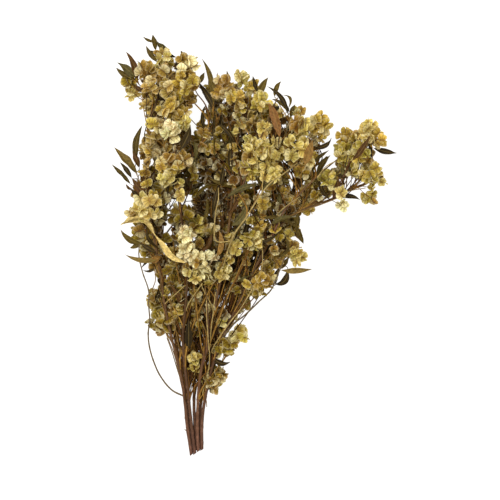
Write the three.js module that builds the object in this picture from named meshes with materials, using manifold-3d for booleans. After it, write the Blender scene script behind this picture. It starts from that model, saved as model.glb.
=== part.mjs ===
// A bunch of dried hop bush: seven cut woody stems with no tie, lying on a table. They fan out from
// their cut ends and carry sprays of papery three-winged capsules, and shoots of narrow olive leaves.
import * as THREE from "three";
import { mergeVertices } from "three/addons/utils/BufferGeometryUtils.js";
import Module from "manifold-3d";

const wasm = await Module();
wasm.setup();

// Driving sizes, in millimetres
const pixel = 1.4; // real size of one pixel of the photograph, which sets the whole bunch's size
const gap = 0.35; // clearance between neighbouring pieces
const stemRadius = { root: 2.28, tip: 1.1 };
const branchRadius = { root: 1.3, tip: 0.8 };
const bowRadius = { root: 1.0, tip: 0.8 };
const twigRadius = { root: 0.95, tip: 0.75 };
const stemSides = 6;
const branchSides = 5;
const twigSides = 3; // of a twig or stalk, and corners of a knob's face
const budRadius = 1.7; // the small knob where a head's capsules meet
const forkRadius = 1.3; // the knob where a spray forks, or where a shoot's leaves sit
const twigFoot = 1.2; // a twig's flared foot on the bark
const wingSpread = 0.5; // of a capsule's length, from its axis to a wing's edge
const wingLow = 0.4; // of a capsule's length, from its stalk to the lower end of a wing's edge
const wingHigh = 0.82; // of a capsule's length, from its stalk to the upper end of that edge
const seedHeight = 0.56; // of a capsule's length, from its stalk to the sunken top between the wings
const foldHeight = 0.48; // of a capsule's length, from its stalk to the folds between its wings
const foldRadius = 0.09; // of a capsule's length, from its axis to those folds
const capsuleReach = 1.12; // a capsule's length, as a part of its head's radius
const bladeThickness = 1.1;
const bladeStations = [[0, 0.35], [0.5, 1]]; // part of the length, and share of the width
const bladeArch = 0.35; // how far a blade bows upward, as a part of its length and four times over
const stalkRadius = { root: 0.8, tip: 0.7 };
const headSeat = 0.62; // how high a head's middle lies over the table at least, as a part of its radius
const lowestFork = 392; // photograph row below which the stems are bare
const lowestReach = -2.2; // how far a piece may reach under the table before it is cut flat
const forkPlaces = [0.2, 0.7]; // where twigs may leave each stretch of a stem, from its upper end
const forkChoices = 14; // forks that a twig tries
const carrierChoices = 6; // knobs that a leaf tries
const faceChoices = { stalk: 2, leaf: 4 }; // faces of a knob that they try
const longTwig = 40; // a twig longer than this has one bend more
const twigSteps = { short: 3, long: 4 };
const twigBow = 0.12; // how far a twig bows off the bark, as a part of its length
const fullBend = 50; // a twig shorter than this bends less round what is in its way
const slightBend = 3;
const bendSizes = [8, 16, 26];
const bendTurns = 8; // ways round for each of those sizes
const lesserBend = 0.5; // a stalk's bends and a knob's moves, as a part of a twig's bends
const leafShifts = [0, 4, -4, 8, -8, 14, -14];
const leafSeat = 2; // how high a leaf's foot lies over the table at least
const twigReach = 80; // how long a twig is by choice
const forward = { share: 0.85, weight: 1.5 }; // how much of its length a twig should grow forward
const forkBack = { most: 26, share: 0.45 }; // how far under its heads a spray forks
const strayShrink = 0.35; // how much shorter a capsule is at its widest stray
const spare = { stem: 0.8, knob: 1.7, wingOut: 1.5, wingDown: 0.5, wingUp: 1.2, sharp: 4 }; // in gaps
const steepest = 0.2; // a way nearer to upright than this takes its rings' direction from the length
const leastLean = 0.25; // how far a capsule strays from its face's own direction
const leastCrossing = 0.001; // cubic millimetres in which neighbours of one spray count as touching
const knobFaces = [[0, 2, 4], [1, 3, 4], [1, 2, 5], [0, 3, 5], [2, 1, 4], [3, 0, 4], [2, 0, 5], [3, 1, 5]];
const shootKnobs = [0.33, 0.67, 1]; // where a shoot's leaves sit along its axis
const seatDepth = 0.3; // how deep the lowest stems are cut flat where they lie on the table
const attempts = 14; // turns that a capsule tries
const tableSize = { wide: 2000, thick: 40 };
const capsuleCounts = [[13, 6], [11, 5], [8, 4], [0, 3]]; // least radius in pixels, and capsules a head

const finishes = {
  bark: { color: 0x6a4a35, roughness: 0.75 },
  capsule: { color: 0xb9a26c, roughness: 0.7 },
  leaf: { color: 0x4f4a33, roughness: 0.65 },
};

// Places in the photograph's own pixels: x to the right and y down from its top left corner.
// The third value is the lift through the bunch's depth, 0 on the table and 1 at its crown.
const buttPixel = { x: 196, y: 452 };

// Depth of the lying bunch along its length, as photograph row and millimetres
const depthAlong = [
  [452, 10], [425, 10], [400, 13], [380, 21], [350, 45], [300, 80],
  [250, 108], [200, 122], [140, 120], [90, 104], [40, 84],
];

const stems = {
  left: [
    [191.5, 452, 1], [188, 430, 1], [186, 410, 1], [183.5, 388, 1], [178, 362, 0.95], [171, 335, 0.9],
    [165, 305, 0.8], [161, 275, 0.75], [156, 245, 0.7], [151, 212, 0.68], [148, 178, 0.68],
    [148, 148, 0.7], [151, 120, 0.72], [157, 103, 0.74],
  ],
  mid_left: [
    [195, 452, 1], [192, 430, 1], [189.8, 410, 1], [187.4, 388, 1], [184.5, 362, 0.95], [183.5, 335, 0.9],
    [186, 305, 0.85], [188, 275, 0.82], [186, 245, 0.8], [181, 212, 0.8], [177, 178, 0.8],
    [176, 148, 0.78], [176, 118, 0.76], [176, 96, 0.76],
  ],
  mid_right: [
    [198.5, 451, 1], [197.5, 430, 1], [197.8, 410, 1], [199, 388, 1], [203, 362, 0.95], [209, 335, 0.9],
    [216, 305, 0.85], [222, 275, 0.8], [227, 245, 0.78], [231, 212, 0.76], [234, 178, 0.75],
    [237, 148, 0.75], [240, 122, 0.74], [240, 102, 0.72],
  ],
  right: [
    [202, 450, 1], [202, 430, 1], [203.6, 410, 1], [207.5, 388, 1], [214, 362, 0.95], [224, 335, 0.85],
    [238, 305, 0.75], [252, 275, 0.7], [266, 248, 0.66], [282, 224, 0.62], [300, 211, 0.58],
    [318, 204, 0.52], [334, 198, 0.47], [350, 190, 0.43], [364, 184, 0.4],
  ],
  under_left: [
    [193.3, 452, 0], [190, 428, 0], [187, 405, 0], [183, 380, 0.02], [177, 350, 0.03], [171, 320, 0.05],
    [166, 290, 0.07], [163, 260, 0.1], [161, 230, 0.12], [159, 200, 0.14], [157, 170, 0.16],
    [155, 140, 0.18], [156, 115, 0.2],
  ],
  under_mid: [
    [196.8, 451.5, 0], [195, 428, 0], [194, 405, 0], [195, 380, 0.02], [197, 350, 0.04], [200, 320, 0.07],
    [204, 290, 0.09], [208, 260, 0.11], [211, 230, 0.13], [213, 200, 0.15], [214, 170, 0.17],
    [215, 140, 0.19], [216, 112, 0.21],
  ],
  under_right: [
    [200.3, 450.5, 0], [199.7, 428, 0], [201, 405, 0], [206, 380, 0.02], [215, 350, 0.03],
    [227, 320, 0.05], [240, 290, 0.07], [254, 262, 0.09], [268, 238, 0.11], [282, 214, 0.13],
    [296, 190, 0.15], [312, 170, 0.17], [328, 156, 0.18],
  ],
};

// Side branches, each by the stem that it forks from
const branches = [
  ["left", bowRadius, [
    [184, 395, 1], [172, 388, 1.15], [160, 372, 1.1], [152, 352, 1], [149, 335, 0.95], [150, 320, 0.9],
    [149, 304, 0.85], [149, 290, 0.8], [143, 272, 0.78], [139.5, 256, 0.75], [140, 244, 0.74],
  ]],
  ["right", bowRadius, [
    [222, 339, 0.88], [233, 323, 0.9], [245, 313, 0.88], [258, 301, 0.8], [270, 290, 0.74],
    [275, 280, 0.7], [281, 268, 0.66], [286, 256, 0.62],
  ]],
  ["mid_right", branchRadius, [
    [203, 366, 0.98], [208, 345, 1.2], [208.5, 322, 1.25], [207.5, 302, 1.15], [205.5, 286, 1.05],
  ]],
  ["mid_right", branchRadius, [
    [222, 272, 0.82], [233, 238, 1.02], [247, 217, 1.08], [259, 198, 1.08], [270, 184, 1.05],
    [284, 174, 0.98], [298, 163, 0.85],
  ]],
  ["right", branchRadius, [
    [334, 198, 0.47], [339, 186, 0.55], [345, 174, 0.62], [349, 163, 0.62], [351, 152, 0.58],
    [360, 144, 0.54],
  ]],
  ["right", branchRadius, [
    [272, 238, 0.66], [284, 212, 0.74], [298, 196, 0.76], [316, 178, 0.72], [327, 168, 0.66],
    [337, 160, 0.62],
  ]],
  ["mid_right", branchRadius, [
    [231, 212, 0.76], [243, 186, 0.84], [252, 160, 0.86], [262, 136, 0.84], [270, 116, 0.78],
    [278, 98, 0.68],
  ]],
  ["mid_right", branchRadius, [
    [247, 174, 0.85], [268, 150, 0.8], [284, 140, 0.76], [297, 130, 0.72], [306, 122, 0.66],
  ]],
  ["mid_left", branchRadius, [
    [177, 178, 0.8], [190, 160, 0.68], [203, 140, 0.62], [210, 122, 0.6], [212, 104, 0.62],
  ]],
];

// Sprays of capsules: each head is its place, its lift and its radius in pixels
const sprays = {
  far_left_top: [
    [147, 70, 0.75, 10], [130, 82, 0.4, 8], [150, 86, 0.9, 8], [137, 96, 0.35, 6], [147, 106, 0.6, 7],
  ],
  crown_left: [[165, 74, 0.7, 9], [164, 57, 0.6, 9], [168, 88, 0.9, 9]],
  crown_tip: [[186, 84, 0.95, 12], [186, 66, 0.9, 11]],
  upper_left: [[181, 113, 0.85, 9], [168, 108, 0.95, 11], [184, 124, 0.9, 8], [189, 100, 0.6, 8]],
  upper_edge: [[156, 125, 0.85, 9], [152, 138, 0.8, 8], [172, 131, 1, 10]],
  left_shoulder: [[165, 147, 0.5, 10], [147, 152, 0.35, 9]],
  left_front: [[170, 166, 1, 12], [184, 160, 0.9, 9], [168, 178, 0.95, 10]],
  left_waist: [[163, 192, 0.45, 11], [150, 180, 0.3, 9]],
  left_edge: [[148, 207, 0.95, 14], [133, 215, 0.8, 7], [143, 232, 0.45, 10]],
  left_heart: [[187, 185, 0.4, 9], [181, 215, 0.5, 12]],
  heart: [[198, 225, 0.4, 9], [187, 235, 0.6, 7], [213, 232, 0.5, 8], [222, 233, 0.3, 8]],
  front_left: [[187, 250, 0.9, 10], [178, 262, 0.45, 9], [197, 258, 1, 9]],
  front_main: [[210, 265, 1, 14], [222, 272, 0.95, 9], [207, 280, 0.85, 8]],
  front_low: [[193, 275, 0.95, 9], [174, 275, 0.4, 8]],
  top_amber: [[225, 88, 0.85, 12], [242, 78, 0.6, 8], [236, 100, 0.95, 10], [228, 110, 0.5, 9]],
  top_gold: [[262, 103, 0.9, 10], [253, 88, 0.45, 8]],
  top_inner: [[220, 128, 0.4, 10], [203, 126, 0.3, 7], [201, 140, 0.55, 9]],
  top_right: [[250, 122, 0.75, 11], [235, 120, 0.4, 8], [265, 130, 0.85, 8]],
  middle_upper: [[225, 145, 0.5, 13], [232, 158, 0.65, 11]],
  middle_deep: [[208, 165, 0.5, 10], [190, 147, 0.3, 7], [215, 180, 0.3, 11]],
  front_upper: [[255, 152, 1, 12], [250, 140, 0.95, 6], [250, 170, 0.9, 10]],
  front_right: [[272, 150, 0.95, 12], [270, 172, 0.9, 11]],
  right_top: [[300, 128, 0.85, 11], [300, 112, 0.6, 6], [320, 122, 0.7, 12], [318, 135, 0.6, 9]],
  right_front: [[297, 148, 0.95, 13], [308, 158, 0.9, 9], [303, 170, 0.7, 8]],
  right_inner: [[345, 153, 0.45, 11], [345, 136, 0.4, 9]],
  right_tip: [[368, 130, 0.6, 11], [377, 140, 0.55, 10], [360, 152, 0.65, 10]],
  right_edge: [
    [372, 172, 0.5, 11], [354, 170, 0.6, 9], [383, 180, 0.4, 6], [373, 187, 0.35, 5], [371, 198, 0.3, 8],
  ],
  right_lower: [[330, 180, 0.55, 10], [311, 179, 0.45, 7], [341, 193, 0.7, 6], [343, 205, 0.3, 6]],
  right_deep: [[310, 192, 0.35, 10], [308, 208, 0.3, 7], [282, 196, 0.45, 9], [283, 178, 0.4, 7]],
  middle_gold: [[243, 200, 0.8, 7], [262, 203, 0.7, 8], [240, 182, 0.7, 8]],
  middle_front: [[252, 240, 0.95, 10], [235, 247, 0.9, 8], [256, 225, 0.7, 9]],
  lower_right: [[284, 232, 0.3, 9], [292, 248, 0.35, 8], [300, 255, 0.45, 7]],
  lower_gold: [[262, 277, 0.7, 10], [274, 256, 0.5, 10], [245, 300, 0.45, 9]],
  low_right: [[240, 335, 0.9, 8], [224, 350, 0.9, 10]],
  low_single: [[214, 380, 0.9, 11]],
  low_mid: [[196, 358, 0.95, 7], [194, 369, 0.9, 6]],
  low_left: [[163, 320, 0.85, 11], [158, 300, 0.6, 9], [176, 305, 0.4, 8]],
  under_upper_left: [[160, 100, 0.25, 11], [156, 116, 0, 10]],
  under_left_side: [[165, 165, 0.28, 10], [145, 190, 0, 12]],
  under_left_low: [[180, 225, 0.25, 9], [149, 246, 0, 11]],
  under_top: [[214, 112, 0.15, 10], [215, 90, 0.3, 10]],
  under_middle: [[235, 135, 0.3, 10], [210, 150, 0, 12]],
  under_top_right: [[285, 140, 0.3, 10], [265, 120, 0.1, 11]],
  under_centre: [[250, 200, 0.3, 10], [270, 175, 0, 12]],
  under_right_side: [[350, 165, 0.25, 10], [341, 171, 0.05, 10]],
  under_right_low: [[285, 225, 0.25, 10], [300, 200, 0, 10]],
  under_low: [[215, 270, 0, 11], [240, 260, 0.3, 10]],
};

// Leafy shoots, by their axis
const shoots = {
  top_left: [[160, 64, 0.6], [155, 46, 0.6]],
  far_left: [[146, 92, 0.55], [134, 78, 0.5]],
  left: [[147, 196, 0.6], [135, 170, 0.58]],
  left_low: [[158, 262, 0.74], [142, 243, 0.72]],
  centre_top: [[214, 122, 0.62], [212, 88, 0.64]],
  right_top: [[290, 122, 0.64], [276, 98, 0.66]],
};

// Leaves: foot x, y and lift, tip x, y and lift, width, and how far the blade bows to its side
const leaves = [
  // top left shoot
  [156, 50, 0.6, 153, 34, 0.62, 6, 0], [155, 42, 0.62, 143, 36, 0.6, 3, 1],
  [156, 40, 0.6, 170, 50, 0.5, 5, -2], [158, 62, 0.6, 146, 45, 0.6, 5, 1],
  [160, 52, 0.55, 172, 50, 0.5, 5, -2], [162, 56, 0.5, 150, 50, 0.5, 4, 0],
  // far left shoot
  [138, 80, 0.55, 127, 52, 0.6, 6, -2], [137, 78, 0.5, 118, 63, 0.5, 7, -1],
  [134, 80, 0.5, 117, 67, 0.45, 5, 1], [158, 68, 0.7, 137, 60, 0.7, 3, 3],
  [144, 92, 0.5, 134, 85, 0.5, 5, 0], [140, 76, 0.45, 129, 66, 0.45, 4, 0],
  [160, 104, 0.6, 174, 91, 0.7, 4, 1], [186, 60, 0.6, 181, 50, 0.6, 4, 0],
  // left shoot
  [138, 160, 0.6, 145, 126, 0.6, 5, 6], [140, 168, 0.6, 133, 148, 0.6, 6, 0],
  [139, 173, 0.6, 117, 148, 0.6, 8, 0], [132, 178, 0.55, 120, 162, 0.55, 5, -1],
  [131, 184, 0.5, 112, 165, 0.5, 4, -3], [147, 197, 0.6, 132, 178, 0.55, 7, 0],
  [152, 192, 0.6, 139, 168, 0.6, 6, 1], [131, 190, 0.5, 126, 184, 0.5, 3, 0],
  // lower left shoot and the curled leaves by it
  [157, 236, 0.9, 122, 224, 0.85, 7, 12], [186, 262, 0.95, 154, 232, 0.95, 7, -4],
  [143, 243, 0.72, 121, 229, 0.7, 5, -4], [142, 242, 0.72, 130, 248, 0.7, 5, 1],
  [157, 253, 0.74, 140, 243, 0.72, 5, 0], [162, 257, 0.75, 125, 254, 0.72, 8, -6],
  [142, 268, 0.7, 158, 259, 0.7, 3, 2], [157, 266, 0.76, 143, 270, 0.76, 3, 3],
  [158, 278, 0.7, 168, 284, 0.65, 6, -2],
  // top middle shoot
  [216, 114, 0.62, 196, 79, 0.6, 6, -2], [199, 84, 0.6, 205, 72, 0.58, 5, 0],
  [214, 106, 0.64, 202, 58, 0.6, 6, -4], [214, 102, 0.66, 211, 69, 0.66, 4, 2],
  [206, 130, 0.5, 207, 104, 0.5, 4, 4], [213, 138, 0.62, 215, 112, 0.64, 4, 0],
  [219, 92, 0.7, 218, 72, 0.7, 5, 0], [227, 84, 0.6, 227, 70, 0.6, 3, -1],
  [223, 134, 0.5, 221, 114, 0.5, 5, 0],
  // top right shoot and the rust-coloured leaves by it
  [258, 92, 0.55, 253, 75, 0.55, 5, 0], [260, 98, 0.6, 269, 77, 0.6, 7, 2],
  [275, 97, 0.66, 282, 81, 0.6, 5, 2], [289, 116, 0.64, 267, 86, 0.66, 5, -5],
  [290, 112, 0.64, 272, 99, 0.66, 6, -2], [289, 108, 0.62, 282, 95, 0.6, 2.5, -8],
  [291, 118, 0.6, 296, 104, 0.58, 5, 1], [280, 138, 0.95, 268, 102, 0.9, 9, -2],
  [306, 166, 0.98, 313, 140, 0.95, 10, 0], [270, 114, 0.7, 280, 106, 0.6, 5, 0],
  [262, 110, 0.8, 252, 116, 0.7, 4, 0],
  // right side
  [314, 148, 0.6, 332, 137, 0.55, 5, -4], [306, 168, 0.6, 330, 150, 0.6, 5, 1],
  [317, 177, 0.62, 331, 155, 0.6, 6, 2], [297, 192, 0.66, 307, 170, 0.6, 4, 0],
  [330, 199, 0.55, 319, 178, 0.55, 6, 2], [333, 197, 0.55, 339, 176, 0.6, 7, -1],
  [348, 178, 0.6, 337, 175, 0.55, 5, 0], [343, 176, 0.6, 342, 165, 0.6, 4, 0],
  [338, 198, 0.46, 361, 200, 0.42, 5, 3], [374, 148, 0.5, 398, 153, 0.45, 6, -1],
  [348, 176, 0.6, 349, 162, 0.6, 5, 0], [298, 212, 0.58, 297, 230, 0.5, 6, 0],
  [297, 226, 0.5, 304, 244, 0.45, 6, 0], [262, 218, 0.75, 298, 229, 0.55, 5, 5],
  [281, 269, 0.66, 313, 268, 0.6, 5, -1], [289, 270, 0.62, 274, 283, 0.55, 5, -6],
  [300, 200, 0.6, 290, 190, 0.55, 4, 0],
  // heart of the bunch
  [240, 286, 0.6, 255, 262, 0.5, 8, 1], [236, 275, 0.4, 238, 256, 0.4, 7, 0],
  [262, 243, 0.5, 264, 230, 0.5, 4, 0], [213, 357, 0.9, 231, 362, 0.85, 4, -5],
  [189, 350, 0.9, 189, 318, 0.95, 8, 0], [180, 151, 0.95, 191, 125, 0.9, 8, -2],
  [186, 192, 0.7, 182, 172, 0.7, 7, -1], [193, 160, 0.6, 194, 146, 0.6, 5, 0],
  [232, 226, 0.9, 249, 203, 0.85, 8, -3], [227, 198, 0.9, 262, 184, 0.9, 6, 3],
  [262, 190, 0.88, 281, 178, 0.85, 4, 1], [217, 257, 0.98, 219, 230, 0.95, 6, -4],
  [196, 200, 0.5, 222, 184, 0.7, 4, 6], [235, 258, 0.5, 229, 250, 0.5, 5, 0],
  [213, 368, 0.6, 217, 352, 0.6, 6, 0], [249, 150, 0.6, 243, 138, 0.6, 5, 0],
  [262, 141, 0.8, 254, 145, 0.8, 5, 0],
];

// The middle of the bunch's box, from its cut ends, which the origin lies under
const boxMiddle = { x: 82.6, y: 292.42 };

const up = new THREE.Vector3(0, 0, 1);
const random = seeded(7);

// Random numbers that are the same on each run
function seeded(seed) {
  let state = seed;
  return () => {
    state = (state + 0x6d2b79f5) | 0;
    let t = Math.imul(state ^ (state >>> 15), 1 | state);
    t = (t + Math.imul(t ^ (t >>> 7), 61 | t)) ^ t;
    return ((t ^ (t >>> 14)) >>> 0) / 4294967296;
  };
}

// The bunch's depth at a row of the photograph
function depthAt(row) {
  const after = depthAlong.findIndex(([y]) => y <= row);
  if (after <= 0) return depthAlong[after === 0 ? 0 : depthAlong.length - 1][1];
  const [y0, d0] = depthAlong[after - 1];
  const [y1, d1] = depthAlong[after];
  return d0 + ((d1 - d0) * (y0 - row)) / (y0 - y1);
}

// A place in the bunch: x and y from the photograph, z from the lift, for a piece so thick each way
function place(x, y, lift, half) {
  const height = half + lift * (depthAt(y) - 2 * half);
  return new THREE.Vector3((x - buttPixel.x) * pixel, (buttPixel.y - y) * pixel, height);
}

// A closed solid from its corners and its triangles
function solidOf(corners, triangles) {
  const vertProperties = new Float32Array(corners.flatMap((p) => [p.x, p.y, p.z]));
  const triVerts = new Uint32Array(triangles.flat());
  return new wasm.Manifold(new wasm.Mesh({ numProp: 3, vertProperties, triVerts }));
}

// The triangles between two rings of corners, each given by its corners' numbers
function band(from, to) {
  return from.flatMap((a, i) => {
    const next = (i + 1) % from.length;
    return [[a, from[next], to[next]], [a, to[next], to[i]]];
  });
}

// The triangles that close a ring of corners
function cap(ring, facingBack) {
  const fan = ring.slice(2).map((corner, i) => [ring[0], ring[i + 1], corner]);
  return facingBack ? fan.map(([a, b, c]) => [a, c, b]) : fan;
}

// A closed solid over rings of corners, flat at both ends or drawn to a tip
function skinOver(rings, tip) {
  const corners = rings.flat();
  const numbers = rings.map((ring, k) => ring.map((_, i) => k * ring.length + i));
  const triangles = numbers.slice(1).flatMap((ring, k) => band(numbers[k], ring));
  triangles.push(...cap(numbers[0], true));
  const last = numbers[numbers.length - 1];
  if (tip) {
    corners.push(tip);
    triangles.push(...last.map((a, i) => [a, last[(i + 1) % last.length], corners.length - 1]));
  } else {
    triangles.push(...cap(last, false));
  }
  return solidOf(corners, triangles);
}

function centreOf(ring) {
  return ring.reduce((sum, corner) => sum.add(corner), new THREE.Vector3()).divideScalar(ring.length);
}

// A ring of corners round a point, in the plane of two directions
function ringRound(point, across, over, radius, sides) {
  return Array.from({ length: sides }, (_, i) => {
    const turn = (2 * Math.PI * i) / sides;
    return point.clone()
      .addScaledVector(across, radius * Math.cos(turn))
      .addScaledVector(over, radius * Math.sin(turn));
  });
}

// Rings round a row of points, narrower from the first to the last
function ringsAlong(points, radius, sides, extra = 0) {
  return points.map((point, k) => {
    const ahead = points[Math.min(k + 1, points.length - 1)];
    const behind = points[Math.max(k - 1, 0)];
    const along = ahead.clone().sub(behind).normalize();
    const across = new THREE.Vector3().crossVectors(along, up);
    if (across.length() < steepest) across.crossVectors(along, new THREE.Vector3(0, 1, 0));
    across.normalize();
    const over = new THREE.Vector3().crossVectors(along, across);
    const r = radius.root + ((radius.tip - radius.root) * k) / (points.length - 1) + extra;
    return ringRound(point, across, over, r, sides);
  });
}

// A slightly fatter copy of each piece placed so far, which keeps other nodes off it
const placed = [];

// Keeps other nodes out of a space
function reserve(node, fat) {
  placed.push({ node, fat, box: fat.boundingBox() });
}

function boxesMeet(a, b) {
  return [0, 1, 2].every((k) => a.min[k] < b.max[k] && b.min[k] < a.max[k]);
}

// A spray or a shoot as it grows: one skin over small eight-faced knobs, with stalks between them, and
// with capsules and leaves that rise from their free faces
function newGrowth(node) {
  return { node, corners: [], triangles: [], knobs: [], own: [] };
}

// Whether a solid is whole, and keeps clear of all that other nodes hold and of its own growth
function isClear(growth, solid) {
  const box = solid.boundingBox();
  if (box.min[2] < lowestReach || solid.volume() <= 0) return false;
  if (Math.abs(solid.intersect(solid).volume() - solid.volume()) > leastCrossing) return false;
  const offOthers = placed.every((other) => other.node === growth.node
    || !boxesMeet(box, other.box) || solid.intersect(other.fat).isEmpty());
  return offOthers && growth.own.every((other) => solid.intersect(other).volume() < leastCrossing);
}

function knobCorners(centre, radius, turned) {
  return [[1, 0, 0], [-1, 0, 0], [0, 1, 0], [0, -1, 0], [0, 0, 1], [0, 0, -1]].map((direction) =>
    new THREE.Vector3(...direction).applyQuaternion(turned).multiplyScalar(radius).add(centre));
}

// Adds a knob at a place, moved a little where it would touch another node
function addKnob(growth, wanted, radius) {
  const angles = new THREE.Euler(6 * random(), 6 * random(), 6 * random());
  const turned = new THREE.Quaternion().setFromEuler(angles);
  const centre = nudges.map((nudge) => wanted.clone().add(nudge))
    .find((spot) => isClear(growth, solidOf(knobCorners(spot, radius, turned), knobFaces)));
  if (!centre) return null;
  const first = growth.corners.length;
  const knob = { centre, free: knobFaces.map((face) => face.map((k) => k + first)) };
  growth.corners.push(...knobCorners(centre, radius, turned));
  growth.knobs.push(knob);
  growth.own.push(solidOf(knobCorners(centre, radius, turned), knobFaces));
  reserve(growth.node, solidOf(knobCorners(centre, radius + spare.knob * gap, turned), knobFaces));
  return knob;
}

// The direction that a face looks, outward from its knob
function facing(growth, knob, face) {
  return centreOf(face.map((k) => growth.corners[k])).sub(knob.centre).normalize();
}

// A knob's free faces, those that look toward a place first
function facesToward(growth, knob, place) {
  const goal = place.clone().sub(knob.centre).normalize();
  const fit = (face) => facing(growth, knob, face).dot(goal);
  return [...knob.free].sort((a, b) => fit(b) - fit(a));
}

// A ring's corners in the order that best follows the ring before it
function matched(ring, before) {
  const [here, there] = [centreOf(ring), centreOf(before)];
  const fit = (shift) => before.reduce((sum, corner, i) => {
    const other = ring[(i + shift) % twigSides].clone().sub(here).normalize();
    return sum + corner.clone().sub(there).dot(other);
  }, 0);
  const shift = [0, 1, 2].reduce((best, k) => (fit(k) > fit(best) ? k : best));
  return [0, 1, 2].map((i) => (i + shift) % twigSides);
}

// Raises a skin from a free face over rings, to a tip, to a flat end or to a face of another knob
function raise(growth, knob, face, shape, ending = {}) {
  const start = face.map((k) => growth.corners[k]);
  const rings = [start];
  for (const ring of shape) rings.push(matched(ring, rings[rings.length - 1]).map((i) => ring[i]));
  let landing = null;
  if (ending.face) {
    const back = [...ending.face].reverse();
    const ring = back.map((k) => growth.corners[k]);
    const order = matched(ring, rings[rings.length - 1]);
    landing = order.map((i) => back[i]);
    rings.push(order.map((i) => ring[i]));
  }
  const solid = skinOver(rings, ending.tip);
  if (!isClear(growth, solid)) return false;
  growth.own.push(solid);
  reserve(growth.node, fattened(rings, ending.tip));
  const added = rings.slice(1, landing ? -1 : undefined);
  const numbers = [face, ...added.map((ring) => ring.map((corner) => growth.corners.push(corner) - 1))];
  if (landing) numbers.push(landing);
  for (let k = 1; k < numbers.length; k += 1) growth.triangles.push(...band(numbers[k - 1], numbers[k]));
  const last = numbers[numbers.length - 1];
  if (ending.tip) {
    const tip = growth.corners.push(ending.tip) - 1;
    growth.triangles.push(...last.map((a, i) => [a, last[(i + 1) % twigSides], tip]));
  } else if (!landing) {
    growth.triangles.push(...cap(last, false));
  }
  knob.free = knob.free.filter((other) => other !== face);
  if (landing) ending.knob.free = ending.knob.free.filter((other) => other !== ending.face);
  return true;
}

// The same skin, fatter by the gap on every side
function fattened(rings, tip) {
  const grown = rings.map((ring) => ring.map((corner, i) => {
    const toCorner = [2, 1].map((step) => corner.clone().sub(ring[(i + step) % twigSides]));
    const halfAngle = toCorner[0].angleTo(toCorner[1]) / 2;
    const outward = toCorner[0].normalize().add(toCorner[1].normalize()).normalize();
    return corner.clone().addScaledVector(outward, Math.min(gap / Math.sin(halfAngle), spare.sharp * gap));
  }));
  return skinOver(grown, tip);
}

// The outline of one papery capsule on a three-cornered foot: three flat wings, each over a corner of
// the foot, standing round a sunken top
function capsuleCorners(foot, centre, axis, length, extra = 0) {
  const reach = wingSpread * length + spare.wingOut * extra;
  const outward = foot.map((corner) => corner.clone().sub(centre).projectOnPlane(axis).normalize());
  const at = (along, out, direction) =>
    centre.clone().addScaledVector(axis, along).addScaledVector(direction, out);
  const ring = outward.flatMap((direction, k) => {
    const between = direction.clone().add(outward[(k + 1) % 3]).normalize();
    return [
      at(wingLow * length - spare.wingDown * extra, reach, direction),
      at(wingHigh * length + spare.wingUp * extra, reach, direction),
      at(foldHeight * length, foldRadius * length + extra, between),
    ];
  });
  return [...ring, at(seedHeight * length + extra, 0, axis)];
}

// The triangles of a capsule, from the numbers of its foot's corners and of its own first corner
function capsuleTriangles(foot, first) {
  return [0, 1, 2].flatMap((k) => {
    const next = (k + 1) % 3;
    const [low, high, fold] = [first + 3 * k, first + 3 * k + 1, first + 3 * k + 2];
    const [nextLow, nextHigh, top] = [first + 3 * next, first + 3 * next + 1, first + 9];
    return [
      [foot[k], foot[next], fold], [foot[k], fold, low], [low, fold, high], [high, fold, top],
      [foot[next], nextLow, fold], [nextLow, nextHigh, fold], [fold, nextHigh, top],
    ];
  });
}

// A capsule by itself, closed under its foot
function capsule(foot, centre, axis, length, extra = 0) {
  const seat = centreOf(foot).addScaledVector(axis, -extra);
  const wider = foot.map((corner) => corner.clone().sub(seat).multiplyScalar(1 + extra).add(seat));
  const corners = [...wider, ...capsuleCorners(foot, centre, axis, length, extra)];
  return solidOf(corners, [[0, 2, 1], ...capsuleTriangles([0, 1, 2], 3)]);
}

// Raises a head's capsules from its knob, each leaning until it keeps clear of all else
function growCapsules({ growth, knob, reach }) {
  const count = capsuleCounts.find(([least]) => reach >= least * pixel)[1];
  let made = 0;
  for (const face of [...knob.free]) {
    const foot = face.map((k) => growth.corners[k]);
    const normal = facing(growth, knob, face);
    for (let attempt = 0; attempt < attempts && made < count; attempt += 1) {
      const stray = attempt / attempts;
      const lean = new THREE.Vector3(random() - 0.5, random() - 0.5, random() - 0.5);
      const axis = normal.clone().addScaledVector(lean, leastLean + stray).normalize();
      const length = reach * capsuleReach * (1 - strayShrink * stray);
      const solid = capsule(foot, knob.centre, axis, length);
      if (!isClear(growth, solid)) continue;
      growth.own.push(solid);
      reserve(growth.node, capsule(foot, knob.centre, axis, length, gap));
      growth.triangles.push(...capsuleTriangles(face, growth.corners.length));
      growth.corners.push(...capsuleCorners(foot, knob.centre, axis, length));
      knob.free = knob.free.filter((other) => other !== face);
      made += 1;
      break;
    }
  }
}

// Points along a bowed way from one place to another, without its two ends
function bowed(from, to, bend, steps) {
  const halfway = from.clone().lerp(to, 0.5).add(bend);
  return new THREE.QuadraticBezierCurve3(from, halfway, to).getPoints(steps).slice(1, -1);
}

// The ways that a twig may bend round what is in its path, straightest first
const bends = [new THREE.Vector3(0, 0, slightBend)];
for (const size of bendSizes) {
  for (let turn = 0; turn < bendTurns; turn += 1) {
    const angle = (2 * Math.PI * turn) / bendTurns;
    bends.push(new THREE.Vector3(size * Math.cos(angle), 0, size * Math.sin(angle)));
  }
}

// The ways that a knob may move off what is in its place
const lesserBends = bends.map((bend) => bend.clone().multiplyScalar(lesserBend));
const nudges = [new THREE.Vector3(), ...lesserBends.slice(1, 1 + 2 * bendTurns)];

// Each stem's node with its solids, and where twigs may fork off it
const stemSolids = new Map();
const forks = [];

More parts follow.
